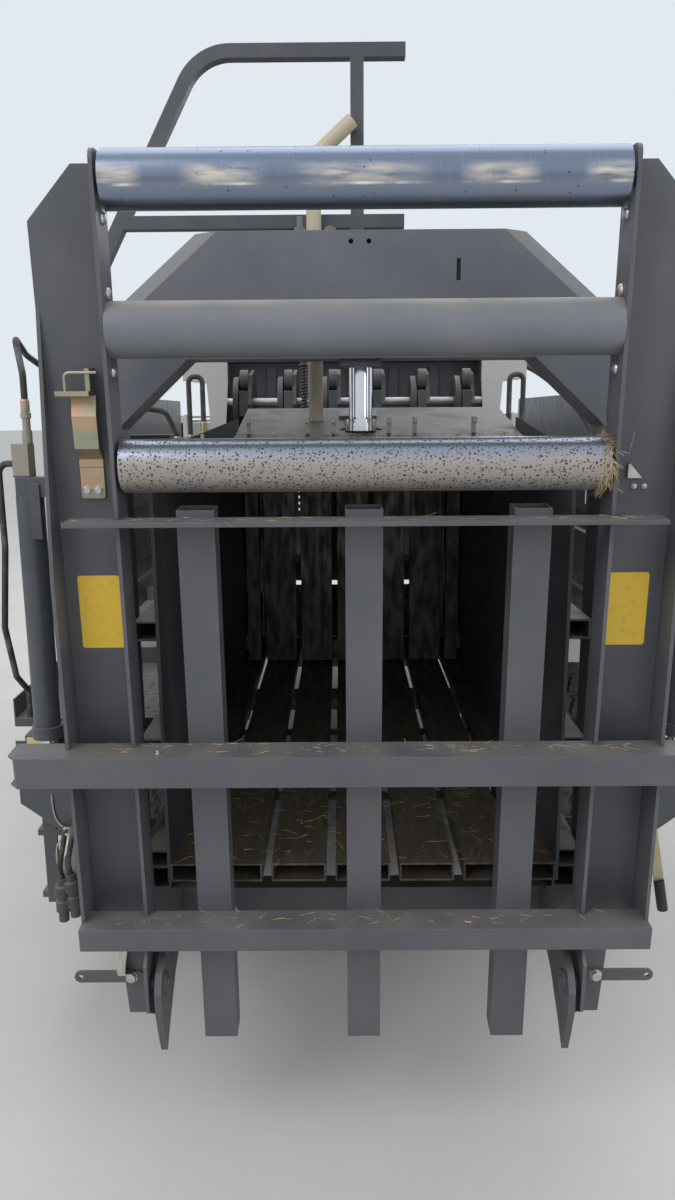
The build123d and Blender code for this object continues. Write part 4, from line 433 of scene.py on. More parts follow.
# The top roller's steel colours are tinted blue: painted reflection of the sky
SMEARED = polished_roller("polished_tube_smeared", "#858fa3", "#7b8698", TOP_ROLLER_UP,
                          TOP_SPECKS, smears_with_painted_reflection)
YELLOW_PLATE = enamel_sheet("yellow_enamel_plate", "#e6bd3a")
STRAW = dry_straw("dry_straw")
PALE_ZINC = bare_steel("zinc_plated_bolt", "#c9c8c2", "#8f8572", 0.3, 0.35, (1, 1, 1), 0.02)
RUBBER_HOSE = moulded_plastic("braided_rubber_hose", "#353435", "#958c7c", 0.62)
END_PLUG = enamel_sheet("beige_end_plug", "#c8b48c")
DUSTY_PORTAL = painted_steel("powder_coat_dusty_grey", "#65686e", "#727479", "#8f887b", 0.5, 0.8)

# Boxes whose fittings are left as zinc: the hooks on the roof beam, the barrels' ports
HOOK_BOX = ((-0.45, -3.96, 2.246), (0.45, -3.905, 2.32))
PORT_BOX = ((-1.2, -3.95, 2.125), (1.2, -3.75, 2.34))
OWN_FINISH = {
    "chute_roller_top": SMEARED,
    # A darker copy of the dark paint on the roof beam's sloped face: painted shade
    "roof_cross_plate": painted_steel("powder_coat_roof_beam_painted_shade", "#393b3e", "#46484b", "#857b69", 0.5, 0.45,
                                      bare=HOOK_BOX),
    "density_barrels": painted_steel("cylinder_barrel_paint", "#43464b", "#4f5257", "#8b8172", 0.42, 0.6,
                                     bare=PORT_BOX),
    "hydraulic_hoses": RUBBER_HOSE,
    "density_frame": DUSTY_PORTAL,
    "chute_mid_tube": DUSTY_PORTAL,
}

for row in frame["record"]["subparts"]:
    piece = nodes[row["node"]]
    finish = OWN_FINISH.get(row["node"], FINISHES[row["material_slot"]])
    if not piece.material_slots:
        piece.data.materials.append(finish)
    for place in piece.material_slots:
        place.material = finish


def new_piece(name, points, faces, finish, body, slot):
    """A mesh piece with its finish, that rides on a body."""
    mesh = bpy.data.meshes.new(name)
    mesh.from_pydata(np.asarray(points, float).reshape(-1, 3).tolist(), [], faces)
    mesh.materials.append(finish)
    mesh.update()
    piece = bpy.data.objects.new(name, mesh)
    bpy.context.scene.collection.objects.link(piece)
    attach(piece, body)
    return piece


def even_turn(count):
    """Angles that divide a full turn evenly."""
    return 2 * pi * np.arange(count) / count


def ring_faces(rings, sides):
    """Quads between rings of points, each ring joined to the one after it."""
    here = sides * np.arange(rings - 1)[:, None]
    c = np.arange(sides)[None, :]
    after = (c + 1) % sides
    quads = np.stack([here + c, here + after, here + sides + after, here + sides + c], axis=-1)
    return quads.reshape(-1, 4)


def capped_faces(rings, sides):
    """The quads between rings of points, closed by one face at each end."""
    first = list(range(sides))[::-1]
    last = list(range((rings - 1) * sides, rings * sides))
    return ring_faces(rings, sides).tolist() + [first, last]


def torus_faces(rings, sides):
    """Quads between rings of points where the last ring joins the first."""
    ring = np.arange(rings)[:, None]
    here = sides * ring
    beyond = sides * ((ring + 1) % rings)
    c = np.arange(sides)[None, :]
    after = (c + 1) % sides
    quads = np.stack([here + c, beyond + c, beyond + after, here + after], axis=-1)
    return quads.reshape(-1, 4)


def turned_template(profile, sides):
    """A turned solid: ring k has radius and height profile[k], its corners at even angles."""
    profile = np.asarray(profile, float)
    angle = even_turn(sides)
    ring = np.stack([np.cos(angle), np.sin(angle)], axis=-1)
    points = np.concatenate([profile[:, None, :1] * ring, np.repeat(profile[:, None, 1:], sides, 1)], axis=-1)
    return points.reshape(-1, 3), capped_faces(len(profile), sides)


def stamped(template, places, directions):
    """Copies of a small solid: each point is place + its coordinates along a frame
    whose third axis is the given direction."""
    points, faces = template
    z = np.asarray(directions, float)
    z = z / np.linalg.norm(z, axis=1, keepdims=True)
    side = np.where(np.abs(z[:, :1]) > 0.9, [[0.0, 1.0, 0.0]], [[1.0, 0.0, 0.0]])
    x = np.cross(side, z)
    x /= np.linalg.norm(x, axis=1, keepdims=True)
    y = np.cross(z, x)
    axes = np.stack([x, y, z], axis=1)
    all_points = np.asarray(places)[:, None, :] + np.einsum("pk,nkc->npc", points, axes)
    count = len(points)
    all_faces = [[i + n * count for i in face] for n in range(len(places)) for face in faces]
    return all_points, all_faces


# Turned solids as (radius, height) from the seat outward, and their number of sides
DOME_HEAD = turned_template([(0.017, 0), (0.017, 0.002), (0.015, 0.006), (0.010, 0.0095), (0.004, 0.011)], 16)
HEX_HEAD = turned_template([(0.021, 0), (0.021, 0.002), (0.0165, 0.002), (0.0165, 0.010),
                            (0.0145, 0.0118)], 6)
SMALL_HEX = turned_template([(0.014, 0), (0.014, 0.0015), (0.0105, 0.0015), (0.0105, 0.007),
                             (0.009, 0.0083)], 6)
TINY_STUD = turned_template([(0.0075, 0), (0.0075, 0.004), (0.005, 0.0045), (0.005, 0.010),
                             (0.004, 0.0112)], 12)
HUB_CAP = turned_template([(0.060, 0), (0.060, 0.012), (0.052, 0.026), (0.034, 0.036), (0.012, 0.040)], 32)


def bolts(name, template, places, directions, body, slot="zinc"):
    """Bolt heads at the given places, each pointing its own way."""
    directions = np.broadcast_to(np.asarray(directions, float), np.asarray(places).shape)
    points, faces = stamped(template, places, directions)
    return new_piece(name, points, faces, PALE_ZINC, body, slot)


# Blank yellow plates on the side members
PLATE_WIDTH = 0.118
PLATE_HEIGHT = 0.210
PLATE_THICK = 0.0015
PLATE_CORNER = 0.008
PLATE_UP = 1.141
PLATE_EDGE = 0.0006
PLATE_ACROSS = {"left": -0.732, "right": 0.729}


def rounded_outline(width, height, corner, steps=6):
    """A rectangle with round corners: quarter circles about four inset centres."""
    turn = np.radians(np.linspace(0, 90, steps + 1))[None, :] + (pi / 2 * np.arange(4))[:, None]
    centre = np.array([(1, 1), (-1, 1), (-1, -1), (1, -1)]) * (width / 2 - corner, height / 2 - corner)
    outline = centre[:, None, :] + corner * np.stack([np.cos(turn), np.sin(turn)], axis=-1)
    return outline.reshape(-1, 2)


def blank_plate(side):
    """A thin blank plate on the back of a side member, its edge slightly rounded."""
    rings = []
    for inset, proud in ((0, 0), (0, PLATE_THICK * 0.6), (PLATE_EDGE, PLATE_THICK)):
        outline = rounded_outline(PLATE_WIDTH - 2 * inset, PLATE_HEIGHT - 2 * inset, PLATE_CORNER - inset)
        across = PLATE_ACROSS[side] + outline[:, 0]
        rings.append(chute_point(across, CHUTE_WEB - proud, PLATE_UP + outline[:, 1]))
    faces = capped_faces(len(rings), len(rings[0]))
    return new_piece(f"blank_plate_{side}", np.stack(rings), faces, YELLOW_PLATE, "chute", "chute_paint")


for side in PLATE_ACROSS:
    blank_plate(side)

# Dome heads along the inner flanges, seen from between them
FLANGE_BOLTS = np.array((2.154, 1.978, 1.790))
FLANGE_BOLT_DEPTH = 0.058
for side, sign in SIDES:
    places = chute_point(sign * CHUTE_INNER, FLANGE_BOLT_DEPTH, FLANGE_BOLTS)
    bolts(f"flange_bolts_{side}", DOME_HEAD, places, (-sign, 0, 0), "chute")

# Loose straw: stems as thin bent three-sided stalks
STEM_SIDES = 3
STEM_STEPS = 5
STEM_TAPER = 0.6


def straw(name, starts, directions, lengths, bend, body, seed, radius=0.0011):
    """Stems along p(t) = start + t d + bend t^2 b, with t the length run and b a
    random direction, each with a round of three points about its line."""
    rng = np.random.default_rng(seed)
    count = len(starts)
    t = np.linspace(0, 1, STEM_STEPS)[None, :, None]
    d = directions / np.linalg.norm(directions, axis=1, keepdims=True)
    b = rng.normal(size=(count, 3))
    run = lengths[:, None, None] * t
    line = starts[:, None, :] + run * d[:, None, :] + bend * run * t * b[:, None, :]
    side = np.cross(d, rng.normal(size=(count, 3)))
    side /= np.linalg.norm(side, axis=1, keepdims=True)
    other = np.cross(d, side)
    angle = even_turn(STEM_SIDES)[:, None]
    taper = radius * (1 - STEM_TAPER * t[..., None])
    ring = np.cos(angle) * side[:, None, None, :] + np.sin(angle) * other[:, None, None, :]
    points = line[:, :, None, :] + taper * ring
    per_stem = STEM_STEPS * STEM_SIDES
    quads = ring_faces(STEM_STEPS, STEM_SIDES)
    ends = np.array([[2, 1, 0], [per_stem - 3, per_stem - 2, per_stem - 1]])
    shift = (np.arange(count) * per_stem)[:, None, None]
    faces = (quads[None] + shift).reshape(-1, 4).tolist() + (ends[None] + shift).reshape(-1, 3).tolist()
    return new_piece(name, points, faces, STRAW, body, "pale_paint")


def straw_tuft():
    """The tuft wound round the right end of the low roller's axle."""
    rng = np.random.default_rng(11)
    count = 520
    angle = rng.uniform(0, 2 * pi, count)
    across = rng.uniform(CHUTE_INNER - 0.030, CHUTE_INNER - 0.002, count)
    reach = ROLLER_RADIUS * rng.uniform(0.62, 1.03, count)
    starts = chute_point(across, ROLLER_DEPTH + reach * np.cos(angle), LOW_ROLLER_UP + reach * np.sin(angle))
    tangent = np.stack([rng.normal(0, 0.5, count), -np.sin(angle), np.cos(angle)], axis=-1)
    outward = np.stack([np.zeros(count), np.cos(angle), np.sin(angle)], axis=-1)
    lengths = rng.uniform(0.012, 0.042, count)
    return straw("straw_tuft", starts, tangent + 0.45 * outward, lengths, 0.25, "chute", 12)


straw_tuft()
straw("leaning_stem", chute_point(np.array([0.704]), 0.098, 1.575), np.array([[0.22, -0.03, 0.97]]),
      np.array([0.135]), 0.06, "chute", 41, 0.0014)


def scattered_straw(name, low, high, count, body, seed, longest=0.07):
    """Short stems that lie on a level patch: places drawn evenly over the patch,
    each stem nearly level and turned any way round."""
    rng = np.random.default_rng(seed)
    starts = rng.uniform(low, high, (count, 3))
    turn = rng.uniform(0, 2 * pi, count)
    level = np.stack([np.cos(turn), np.sin(turn), rng.normal(0, 0.06, count)], axis=-1)
    return straw(name, starts, level, rng.uniform(0.015, longest, count), 0.12, body, seed + 1, 0.0009)


STRAW_PATCHES = (
    # name, lowest and highest corner of the patch, stems, body
    ("straw_on_floor", (-0.58, -4.03, 0.932), (0.58, -3.00, 0.935), 420, "root"),
    ("straw_on_roof_beam", (-0.34, -3.93, 2.240), (0.44, -3.90, 2.246), 60, "root"),
    ("straw_on_table", (-0.55, -2.63, 2.234), (0.55, -2.52, 2.237), 120, "root"),
    ("straw_on_platform", (-1.18, -3.64, 1.277), (-0.70, -2.98, 1.279), 60, "root"),
)
for name, low, high, count, body in STRAW_PATCHES:
    scattered_straw(name, low, high, count, body, count)


def straw_on_chute(name, up, count, seed):
    """Chaff that lies on a cross piece of the chute, along its upper face."""
    rng = np.random.default_rng(seed)
    starts = chute_point(rng.uniform(-0.75, 0.75, count), rng.uniform(-0.04, 0.02, count), up + 0.0015)
    level = np.stack([rng.normal(0, spread_out, count) for spread_out in (1, 0.6, 0.03)], axis=-1)
    return straw(name, starts, level, rng.uniform(0.01, 0.05, count), 0.1, "chute", seed + 1, 0.0008)


straw_on_chute("straw_on_bumper", 0.775, 90, 31)
straw_on_chute("straw_on_lower_beam", 0.230, 60, 33)
straw_on_chute("straw_on_cross_flat", 1.419, 50, 35)

# The tyres: their carcass, and the blocks of the tread as grooves cut into it
WHEELS = {"right_rear": (1.025, -2.05), "right_front": (1.025, -0.75),
          "left_rear": (-1.025, -2.05), "left_front": (-1.025, -0.75)}
AXLE_HEIGHT = 0.600
TYRE_FLANK = ((0.2868, 0.190), (0.300, 0.206), (0.3425, 0.2300), (0.443, 0.240), (0.5372, 0.228),
              (0.5874, 0.2016), (0.600, 0.1584), (0.600, 0.0))
TREAD_PITCHES = 34
TREAD_STEPS = 11
GROOVE_DEPTH = 0.013
GROOVE_HALF = 0.0075
GROOVE_SLOPE = 0.004
OUTER_GROOVE = 0.082
ZIGZAG_REACH = 0.010
SIDEWALL_RINGS = (0.335, 0.470, 0.515)
SECTION_POINTS = 100


def smooth_section(flank, rounds=3):
    """Half a tyre's section with its corners cut off at a quarter and three quarters
    of each line, a few times over, then mirrored and spread evenly along its length."""
    line = np.array(flank)
    for _ in range(rounds):
        before, after = line[:-1], line[1:]
        cut = np.stack([0.75 * before + 0.25 * after, 0.25 * before + 0.75 * after], axis=1).reshape(-1, 2)
        line = np.concatenate([line[:1], cut, line[-1:]])
    whole = np.concatenate([line, line[-2::-1] * (1, -1)])
    run = np.concatenate([[0], np.cumsum(np.linalg.norm(np.diff(whole, axis=0), axis=1))])
    even = np.linspace(0, run[-1], SECTION_POINTS)
    return np.stack([np.interp(even, run, whole[:, k]) for k in (0, 1)], axis=-1)


def zigzag(phase):
    """A wave of straight lines between -1 and 1, once up and down in each pitch."""
    return 1 - 4 * np.abs(phase - np.floor(phase) - 0.5)


def groove(distance):
    """How deep a groove is at a distance from its middle, with sloped sides."""
    return np.clip((GROOVE_HALF + GROOVE_SLOPE - np.abs(distance)) / GROOVE_SLOPE, 0, 1)


def tread_depth(phase, across):
    """Grooves of the tread at a phase round the tyre and a distance from its middle:
    three that zigzag round it and slanted ones across that part the blocks."""
    pitch = 2 * pi * AXLE_HEIGHT / TREAD_PITCHES
    middle = groove(across - ZIGZAG_REACH * zigzag(phase))
    swing = ZIGZAG_REACH * zigzag(phase + 0.5)
    outer = np.maximum(groove(across - OUTER_GROOVE - swing), groove(across + OUTER_GROOVE - swing))
    row = np.where(np.abs(across) < OUTER_GROOVE, 0.25 * np.sign(across), 0.75)
    slanted = phase + row + 1.6 * np.abs(across)
    cross = groove((slanted - np.floor(slanted) - 0.5) * pitch)
    return np.maximum(np.maximum(middle, outer), cross)


def tyre_surface(name):
    """A tyre: its section carried round the axle, cut in by the grooves of the tread
    and with three low rings on each sidewall."""
    across, y = WHEELS[name]
    section = smooth_section(TYRE_FLANK)
    rounds = TREAD_PITCHES * TREAD_STEPS
    phase = (np.arange(rounds) / TREAD_STEPS)[:, None]
    radius, side = section[None, :, 0], section[None, :, 1]
    on_tread = np.clip((radius - 0.562) / 0.012, 0, 1)
    radius = radius - GROOVE_DEPTH * on_tread * tread_depth(phase, side)
    ring = sum(np.exp(-((section[:, 0] - r) / 0.004) ** 2) for r in SIDEWALL_RINGS)
    side = side - 0.002 * np.sign(side) * ring[None, :]
    angle = 2 * pi * phase / TREAD_PITCHES + 0 * radius
    points = np.stack([across + side + 0 * radius, y + radius * np.cos(angle),
                       AXLE_HEIGHT + radius * np.sin(angle)], axis=-1)
    faces = torus_faces(rounds, SECTION_POINTS).tolist()
    piece = new_piece(f"tyre_surface_{name}", points, faces, FINISHES["tyre_rubber"],
                      f"wheel_{name}", "tyre_rubber")
    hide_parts(f"tyre_{name}")
    return piece


def circle_of(centre, radius, count, axis):
    """Places evenly round a circle about the X or Y axis through a centre."""
    turn = even_turn(count)
    flat = np.zeros(count)
    around = {"x": (flat, np.cos(turn), np.sin(turn)), "y": (np.cos(turn), flat, np.sin(turn))}[axis]
    return np.asarray(centre) + radius * np.stack(around, axis=-1)


# Wheel nuts and hub caps
NUT_CIRCLE = 0.125
NUTS = 10
DISC_FACE = 0.037
HUB_FACE = 0.075

for name, (across, y) in WHEELS.items():
    tyre_surface(name)
    sign = 1 if across > 0 else -1
    nuts = circle_of((across + sign * DISC_FACE, y, AXLE_HEIGHT), NUT_CIRCLE, NUTS, "x")
    bolts(f"wheel_nuts_{name}", HEX_HEAD, nuts, (sign, 0, 0), f"wheel_{name}")
    points, faces = stamped(HUB_CAP, [(across + sign * HUB_FACE, y, AXLE_HEIGHT)], [(sign, 0, 0)])
    new_piece(f"hub_cap_{name}", points, faces, FINISHES["cast_paint"], f"wheel_{name}", "cast_paint")

# Bolts of the drive line, the towing eye, the side shields and the chute's straps,
# and how deep in the chute the plates lie that carry them
FACE_DEPTH = 0.092
bolts("flywheel_bolts", HEX_HEAD, circle_of((0, 2.39, 1.33), 0.073, 6, "y"), (0, 1, 0), "flywheel")
bolts("towing_eye_bolts", SMALL_HEX, circle_of((0, 4.175, 0.62), 0.043, 4, "y"), (0, 1, 0), "root")
for side, sign in SIDES:
    cover = circle_of((sign * 0.314, 1.57, 1.375), 0.155, 10, "x")
    bolts(f"gearbox_cover_bolts_{side}", SMALL_HEX, cover, (sign, 0, 0), "root")
    shield = [(sign * 1.196, y, z) for y in (-2.86, -1.54, -0.24) for z in (1.29, 2.13)]
    bolts(f"shield_bolts_{side}", DOME_HEAD, shield, (sign, 0, 0), "root")
    strap_bolt = chute_point(sign * 0.728, FACE_DEPTH, -0.052)[None]
    bolts(f"strap_bolt_{side}", HEX_HEAD, strap_bolt, (0, -1, 0), "chute")


# A direction that none of the tubes below runs along
OFF_AXIS = np.array([0.12, 0.95, 0.3])


def swept_tube(line, radius, sides=16, steps=12):
    """A round tube along a smooth line through the given places: between two of them
    the line is the cubic whose slopes there are half the way between their neighbours,
    and each ring stands square to it."""
    places = np.asarray(line, float)
    padded = np.concatenate([2 * places[:1] - places[1:2], places, 2 * places[-1:] - places[-2:-1]])
    t = np.linspace(0, 1, steps, endpoint=False)[None, :, None]
    p0, p1, p2, p3 = (padded[k:len(padded) - 3 + k][:, None, :] for k in range(4))
    curve = 0.5 * (2 * p1 + (p2 - p0) * t + (2 * p0 - 5 * p1 + 4 * p2 - p3) * t ** 2
                   + (3 * p1 - p0 - 3 * p2 + p3) * t ** 3)
    curve = np.concatenate([curve.reshape(-1, 3), places[-1:]])
    along = np.gradient(curve, axis=0)
    along /= np.linalg.norm(along, axis=1, keepdims=True)
    x = np.cross(along, OFF_AXIS)
    x /= np.linalg.norm(x, axis=1, keepdims=True)
    y = np.cross(along, x)
    angle = even_turn(sides)[None, :, None]
    rings = curve[:, None] + radius * (np.cos(angle) * x[:, None] + np.sin(angle) * y[:, None])
    return rings, capped_faces(len(curve), sides)


CURVED_ARM = ((0.612, -2.26, 2.44), (0.640, -2.40, 2.53), (0.760, -2.60, 2.50), (0.900, -2.78, 2.36),
              (0.985, -2.86, 2.22), (1.000, -2.873, 2.150))
new_piece("curved_arm", *swept_tube(CURVED_ARM, 0.016), FINISHES["dark_paint"], "root", "dark_paint")

# Fittings where hoses end: a crimped sleeve on a hexagon nut
HOSE_END = turned_template([(0.016, 0), (0.016, 0.016), (0.0125, 0.018), (0.0135, 0.024), (0.0135, 0.052),
                            (0.0118, 0.056)], 12)
HOSE_ENDS = {
    "right": ((0.658, -3.0, 2.170), (0.604, -3.0, 2.220)),
    "left": ((-0.658, -3.0, 2.170), (-0.604, -3.0, 2.220), (-0.658, -3.290, 2.170), (-1.014, -3.850, 2.296)),
}
for side, places in HOSE_ENDS.items():
    points, faces = stamped(HOSE_END, places, [(0, 0, 1)] * len(places))
    new_piece(f"hose_ends_{side}", points, faces, FINISHES["zinc"], "root", "zinc")

# Couplings that hang at the left bulkhead, each on a stub of hose
COUPLING = turned_template([(0.010, 0), (0.018, 0.004), (0.018, 0.040), (0.026, 0.044), (0.026, 0.082),
                            (0.021, 0.086), (0.021, 0.100), (0.028, 0.104), (0.028, 0.140), (0.020, 0.146),
                            (0.020, 0.168)], 20)
points, faces = stamped(COUPLING, [(-1.066, -3.700, 0.522), (-1.022, -3.702, 0.540)],
                        [(0.02, 0, 1), (-0.06, 0, 1)])
new_piece("hanging_couplings", points, faces, FINISHES["cast_paint"], "root", "cast_paint")
for index, (x, low) in enumerate(((-1.063, 0.688), (-1.032, 0.706))):
    hanger = ((x, -3.700, low), (x - 0.004, -3.704, low + 0.05), (x + 0.012, -3.700, low + 0.13),
              (x + 0.018, -3.676, low + 0.19))
    new_piece(f"coupling_hose_{index + 1}", *swept_tube(hanger, 0.010, 12), RUBBER_HOSE,
              "root", "guard_plastic")


# The eased edge of a sheet: how far it is drawn in and how deep it reaches
EDGE_INSET = 0.0005
EDGE_DEPTH = 0.0008


def drawn_in(outline, inset):
    """An outline with each point drawn towards the middle by the same distance."""
    away = outline - outline.mean(axis=0)
    return outline - inset * away / np.linalg.norm(away, axis=1, keepdims=True)


def flat_bar(name, outline, y, thick, finish, body, slot):
    """A flat upright bar across the machine: an outline of (x, z) carried through its
    thickness, with both its edges drawn in by half a millimetre."""
    outline = np.asarray(outline, float)
    rings = []
    for depth, inset in ((0, EDGE_INSET), (EDGE_DEPTH, 0), (thick - EDGE_DEPTH, 0), (thick, EDGE_INSET)):
        shrunk = drawn_in(outline, inset)
        rings.append(np.stack([shrunk[:, 0], np.full(len(outline), y - depth), shrunk[:, 1]], axis=-1))
    faces = capped_faces(len(rings), len(outline))
    return new_piece(name, np.stack(rings), faces, finish, body, slot)


# The parking lever at the right bulkhead, its grip and its bolt
LEVER_TOP = np.array((1.022, 0.915))
LEVER_END = np.array((1.088, 0.560))
lever_length = np.linalg.norm(LEVER_END - LEVER_TOP)
slope = (LEVER_END - LEVER_TOP) / lever_length
lever = rounded_outline(0.034, lever_length, 0.0165)
lever = (LEVER_TOP + LEVER_END) / 2 + lever[:, :1] * (-slope[1], slope[0]) - lever[:, 1:] * slope
flat_bar("parking_lever", lever, -3.670, 0.008, FINISHES["zinc"], "root", "zinc")
grip = [LEVER_END + slope * run for run in (-0.100, -0.03, 0.018)]
new_piece("parking_lever_grip", *swept_tube([(x, -3.674, z) for x, z in grip], 0.019, 16, 6),
          FINISHES["guard_plastic"], "root", "guard_plastic")
bolts("parking_lever_bolt", HEX_HEAD, [(1.026, -3.678, 0.893)], (0, -1, 0), "root")


def chute_plate(name, outline, thick, finish):
    """A thin plate on the rear face of a side member's web: an outline of (across, up)
    with its outer edge drawn in by half a millimetre."""
    outline = np.asarray(outline, float)
    drawn = drawn_in(outline, EDGE_INSET)
    rings = [chute_point(line[:, 0], CHUTE_WEB - proud, line[:, 1])
             for line, proud in ((outline, 0), (outline, thick - EDGE_DEPTH), (drawn, thick))]
    faces = capped_faces(len(rings), len(outline))
    return new_piece(name, np.stack(rings), faces, finish, "chute", "zinc")


# The latch's foot and its bolts on the left, the small gusset and studs on the right
LATCH_FOOT = ((-0.692, 1.544), (-0.692, 1.466), (-0.697, 1.461), (-0.751, 1.461), (-0.756, 1.466),
              (-0.756, 1.544))
RIGHT_GUSSET = ((0.702, 1.506), (0.702, 1.542), (0.706, 1.546), (0.742, 1.506))
chute_plate("latch_foot", LATCH_FOOT, 0.008, FINISHES["zinc"])
chute_plate("right_gusset", RIGHT_GUSSET, 0.012, PALE_ZINC)
foot_bolts = chute_point(np.array((-0.739, -0.709)), FACE_DEPTH, 1.483)
bolts("latch_foot_bolts", SMALL_HEX, foot_bolts, (0, -1, 0), "chute")
bolts("bumper_rivet", TINY_STUD, chute_point(np.array([-0.570]), -0.040, 0.7735), (0, 0, 1), "chute")
gusset_studs = chute_point(np.array((0.724, 0.752)), CHUTE_WEB, 1.483)
bolts("right_gusset_studs", TINY_STUD, gusset_studs, (0, -1, 0), "chute")

# Twine that is tied at the left bulkhead, with its knot
TWINE_RUNS = (
    ((-1.085, -3.673, 1.030), (-1.086, -3.674, 0.960), (-1.074, -3.676, 0.900), (-1.036, -3.682, 0.864),
     (-1.008, -3.678, 0.842), (-0.985, -3.674, 0.838)),
    ((-0.988, -3.673, 0.960), (-0.992, -3.674, 0.900), (-1.034, -3.684, 0.860), (-1.074, -3.680, 0.815),
     (-1.080, -3.690, 0.770), (-1.074, -3.696, 0.715)),
)
for index, run in enumerate(TWINE_RUNS):
    new_piece(f"tied_twine_{index + 1}", *swept_tube(run, 0.0028, 8, 8), FINISHES["pale_paint"],
              "root", "pale_paint")
turn = np.linspace(0, 2 * pi, 15)
KNOT_PLACE = (-1.034, -3.688, 0.862)
knot = KNOT_PLACE + np.stack([0.010 * np.sin(turn) + 0.006 * np.sin(2 * turn), -0.005 * np.cos(3 * turn),
                              0.012 * np.cos(turn) + 0.005 * np.cos(2 * turn)], axis=-1)
new_piece("tied_twine_knot", *swept_tube(knot, 0.0055, 10, 4), FINISHES["pale_paint"], "root", "pale_paint")

# A chain on its hook beside the portal: links that turn by a quarter each
LINK_STEPS = 20
LINK_SIDES = 8
LINK_BEND = 0.007
LINK_STRAIGHT = 0.006
LINK_WIRE = 0.0026


def chain_link():
    """One link: a round wire along two half circles joined by straight sides."""
    angle = even_turn(LINK_STEPS)
    outward = np.stack([np.cos(angle), np.sin(angle)], axis=-1)
    straight = np.stack([0 * angle, LINK_STRAIGHT * np.sign(np.sin(angle + 1e-9))], axis=-1)
    middle = LINK_BEND * outward + straight
    turn = even_turn(LINK_SIDES)[None, :, None]
    flat = middle[:, None] + LINK_WIRE * np.cos(turn) * outward[:, None]
    proud = np.broadcast_to(LINK_WIRE * np.sin(turn), (LINK_STEPS, LINK_SIDES, 1))
    points = np.concatenate([flat, proud], axis=-1)
    return points.reshape(-1, 3), torus_faces(LINK_STEPS, LINK_SIDES)


def chain(name, top, count, pitch=0.0215):
    """Links one under the other, every second one turned by a quarter."""
    points, quads = chain_link()
    upright = np.stack([points[:, 0], points[:, 2], points[:, 1]], axis=-1)
    crossed = np.stack([points[:, 2], -points[:, 0], points[:, 1]], axis=-1)
    index = np.arange(count)
    which = (index % 2)[:, None, None]
    places = np.array(top) - np.stack([0 * index, 0 * index, index * pitch], axis=-1)
    all_points = places[:, None] + np.where(which == 0, upright[None], crossed[None])
    faces = (quads[None] + (index * len(points))[:, None, None]).reshape(-1, 4)
    return new_piece(name, all_points, faces.tolist(), PALE_ZINC, "root", "zinc")


chain("portal_chain", (-0.938, -3.905, 2.060), 9)
CHAIN_HOOK = ((-0.858, -3.905, 2.078), (-0.900, -3.905, 2.078), (-0.930, -3.905, 2.074),
              (-0.944, -3.905, 2.080), (-0.950, -3.905, 2.092))
new_piece("portal_chain_hook", *swept_tube(CHAIN_HOOK, 0.0035, 10, 6), PALE_ZINC, "root", "zinc")


COIL_STEPS = 12


def coil(name, foot, height, radius, wire, turns, finish):
    """A spring: its wire runs up a screw line of even pitch round an upright rod."""
    t = np.linspace(0, 1, turns * COIL_STEPS + 1)
    angle = 2 * pi * turns * t
    rise = wire + (height - 2 * wire) * t
    line = foot + np.stack([radius * np.cos(angle), radius * np.sin(angle), rise], axis=-1)
    return new_piece(name, *swept_tube(line, wire, 8, 1), finish, "root", "dark_paint")


SPRING_FOOT = (-0.190, -3.300, 2.220)
coil("roof_spring", SPRING_FOOT, 0.250, 0.0135, 0.0026, 22, FINISHES["dark_paint"])
ROOF_STUD = turned_template([(0.024, 0), (0.024, 0.010), (0.009, 0.012), (0.009, 0.252), (0.020, 0.253),
                             (0.020, 0.258), (0.013, 0.259), (0.013, 0.272), (0.008, 0.274),
                             (0.008, 0.290)], 12)
points, faces = stamped(ROOF_STUD, [SPRING_FOOT], [(0, 0, 1)])
new_piece("roof_spring_rod", points, faces, FINISHES["dark_paint"], "root", "dark_paint")

# The bent bracket that stands on the left strap: a leaning blade with a short foot
BLADE = np.array(((-0.720, -0.0315), (-0.762, -0.0315), (-0.766, -0.0285), (-0.768, -0.020),
                  (-0.744, 0.110), (-0.728, 0.122), (-0.722, 0.100), (-0.738, 0.010),
                  (-0.742, -0.0265), (-0.720, -0.0265)))
BLADE_DEPTHS = (0.098, 0.072, 0.0715)
rings = np.stack([chute_point(BLADE[:, 0], deep, BLADE[:, 1]) for deep in BLADE_DEPTHS])
new_piece("strap_bracket", rings, capped_faces(len(BLADE_DEPTHS), len(BLADE)), PALE_ZINC, "chute", "zinc")

# Plates behind the slot of the portal and in the open end of the platform's beam
slot_back = rounded_outline(0.040, 0.084, 0.004) + (0.278, 2.702)
flat_bar("portal_slot_backing", slot_back, -3.914, 0.004, FINISHES["cast_paint"], "root", "cast_paint")
plug = rounded_outline(0.098, 0.040, 0.004) + (-1.080, 1.220)
flat_bar("platform_beam_plug", plug, -3.750, 0.004, END_PLUG, "root", "pale_paint")

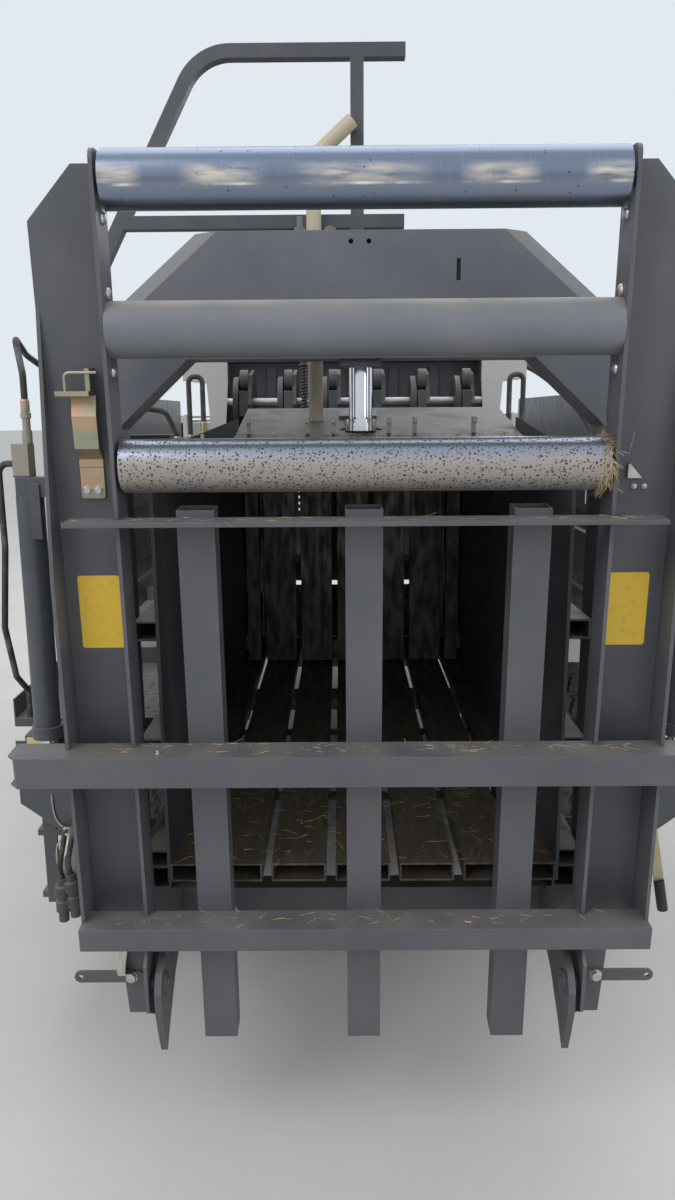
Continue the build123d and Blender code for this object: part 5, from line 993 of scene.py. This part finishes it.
# Raised lozenges of the platform's tread plate, in rows that alternate
LOZENGE = turned_template([(0.013, -0.0005), (0.012, 0.0012), (0.006, 0.0020)], 8)
LOZENGE_NARROW = 0.34
LOZENGE_PITCH = 0.040
FIRST_LOZENGE = (-1.165, -3.630, 1.275)
columns, rows = np.meshgrid(np.arange(12), np.arange(17), indexing="ij")
grid = np.stack([LOZENGE_PITCH * columns, LOZENGE_PITCH * rows, 0 * rows], axis=-1).reshape(-1, 3)
places = FIRST_LOZENGE + grid
points, faces = LOZENGE
way = np.where((columns + rows) % 2 == 0, 1.0, -1.0).reshape(-1, 1)
x, y, z = points[:, 0], points[:, 1] * LOZENGE_NARROW, points[:, 2]
slant = cos(pi / 4)
spun = np.stack([slant * (x - way * y), slant * (way * x + y), z + 0 * way], axis=-1)
faces = [[i + n * len(points) for i in face] for n in range(len(way)) for face in faces]
new_piece("platform_lozenges", places[:, None] + spun, faces, FINISHES["dark_paint"], "root", "dark_paint")

# Floor, light and camera
FLOOR_HALF = 150.0


def floor():
    """The plain pale floor: a level square whose colour carries the shadow."""
    points = [(x * FLOOR_HALF, y * FLOOR_HALF, 0) for x, y in ((-1, -1), (1, -1), (1, 1), (-1, 1))]
    mesh = bpy.data.meshes.new("floor")
    mesh.from_pydata(points, [], [(0, 1, 2, 3)])
    piece = bpy.data.objects.new("floor", mesh)
    bpy.context.scene.collection.objects.link(piece)
    material, tree, shader, point = new_finish("matt_pale_floor")
    tone = blotches(tree, point, 0.8, 0.3, 0.7)
    feed(tree, shader, {"Base Color": mixed(tree, tone, "#bfbdb8", "#c5c3bf"), "Roughness": 0.9})
    mesh.materials.append(material)


floor()

world = bpy.data.worlds.new("studio")
bpy.context.scene.world = world
world.use_nodes = True
sky = world.node_tree
sky.nodes.clear()
path = add(sky, "LightPath").outputs
seen = combine(sky, "MAXIMUM", path["Is Camera Ray"], path["Is Glossy Ray"])
seen = combine(sky, "MAXIMUM", seen, path["Is Transmission Ray"])
lit = add(sky, "Background", {"Color": linear("#e8edf4"), "Strength": 1.05}).outputs[0]
shown = add(sky, "Background", {"Color": linear("#e3e9f0"), "Strength": 1.0}).outputs[0]
both = add(sky, "MixShader", {0: seen, 1: lit, 2: shown}).outputs[0]
add(sky, "OutputWorld", {"Surface": both})

LAMPS = (
    # name, place, aimed at, size, watts
    ("key", (-6.5, -10.0, 9.0), (0, -3.5, 1.2), 6.0, 480),
    ("fill", (7.5, -9.0, 5.0), (0, -3.5, 1.2), 6.0, 190),
    ("top", (0.0, 0.5, 11.0), (0, 0, 0), 9.0, 320),
    ("front", (5.5, 10.0, 7.0), (0, 2.5, 1.0), 6.0, 300),
)
for name, place, aim, size, watts in LAMPS:
    lamp = bpy.data.lights.new(name, "AREA")
    lamp.energy = watts
    lamp.size = size
    holder = bpy.data.objects.new(name, lamp)
    bpy.context.scene.collection.objects.link(holder)
    towards = Matrix.Translation(place).inverted() @ Matrix.Translation(aim)
    holder.location = place
    holder.rotation_euler = towards.to_translation().to_track_quat("-Z", "Y").to_euler()

camera = bpy.data.objects.new("camera", bpy.data.cameras.new("camera"))
bpy.context.scene.collection.objects.link(camera)
camera.data.sensor_width = SENSOR
camera.data.lens = FOCAL_PIXELS / IMAGE_HEIGHT * SENSOR
camera.data.clip_end = CAMERA_REACH
camera.matrix_world = (
    Matrix.Translation(CAMERA_PLACE)
    @ Matrix.Rotation(radians(-CAMERA_YAW), 4, "Z")
    @ Matrix.Rotation(radians(90 + CAMERA_PITCH), 4, "X")
    @ Matrix.Rotation(radians(CAMERA_ROLL), 4, "Z")
)
bpy.context.scene.camera = camera
bpy.context.scene.view_settings.view_transform = "Standard"
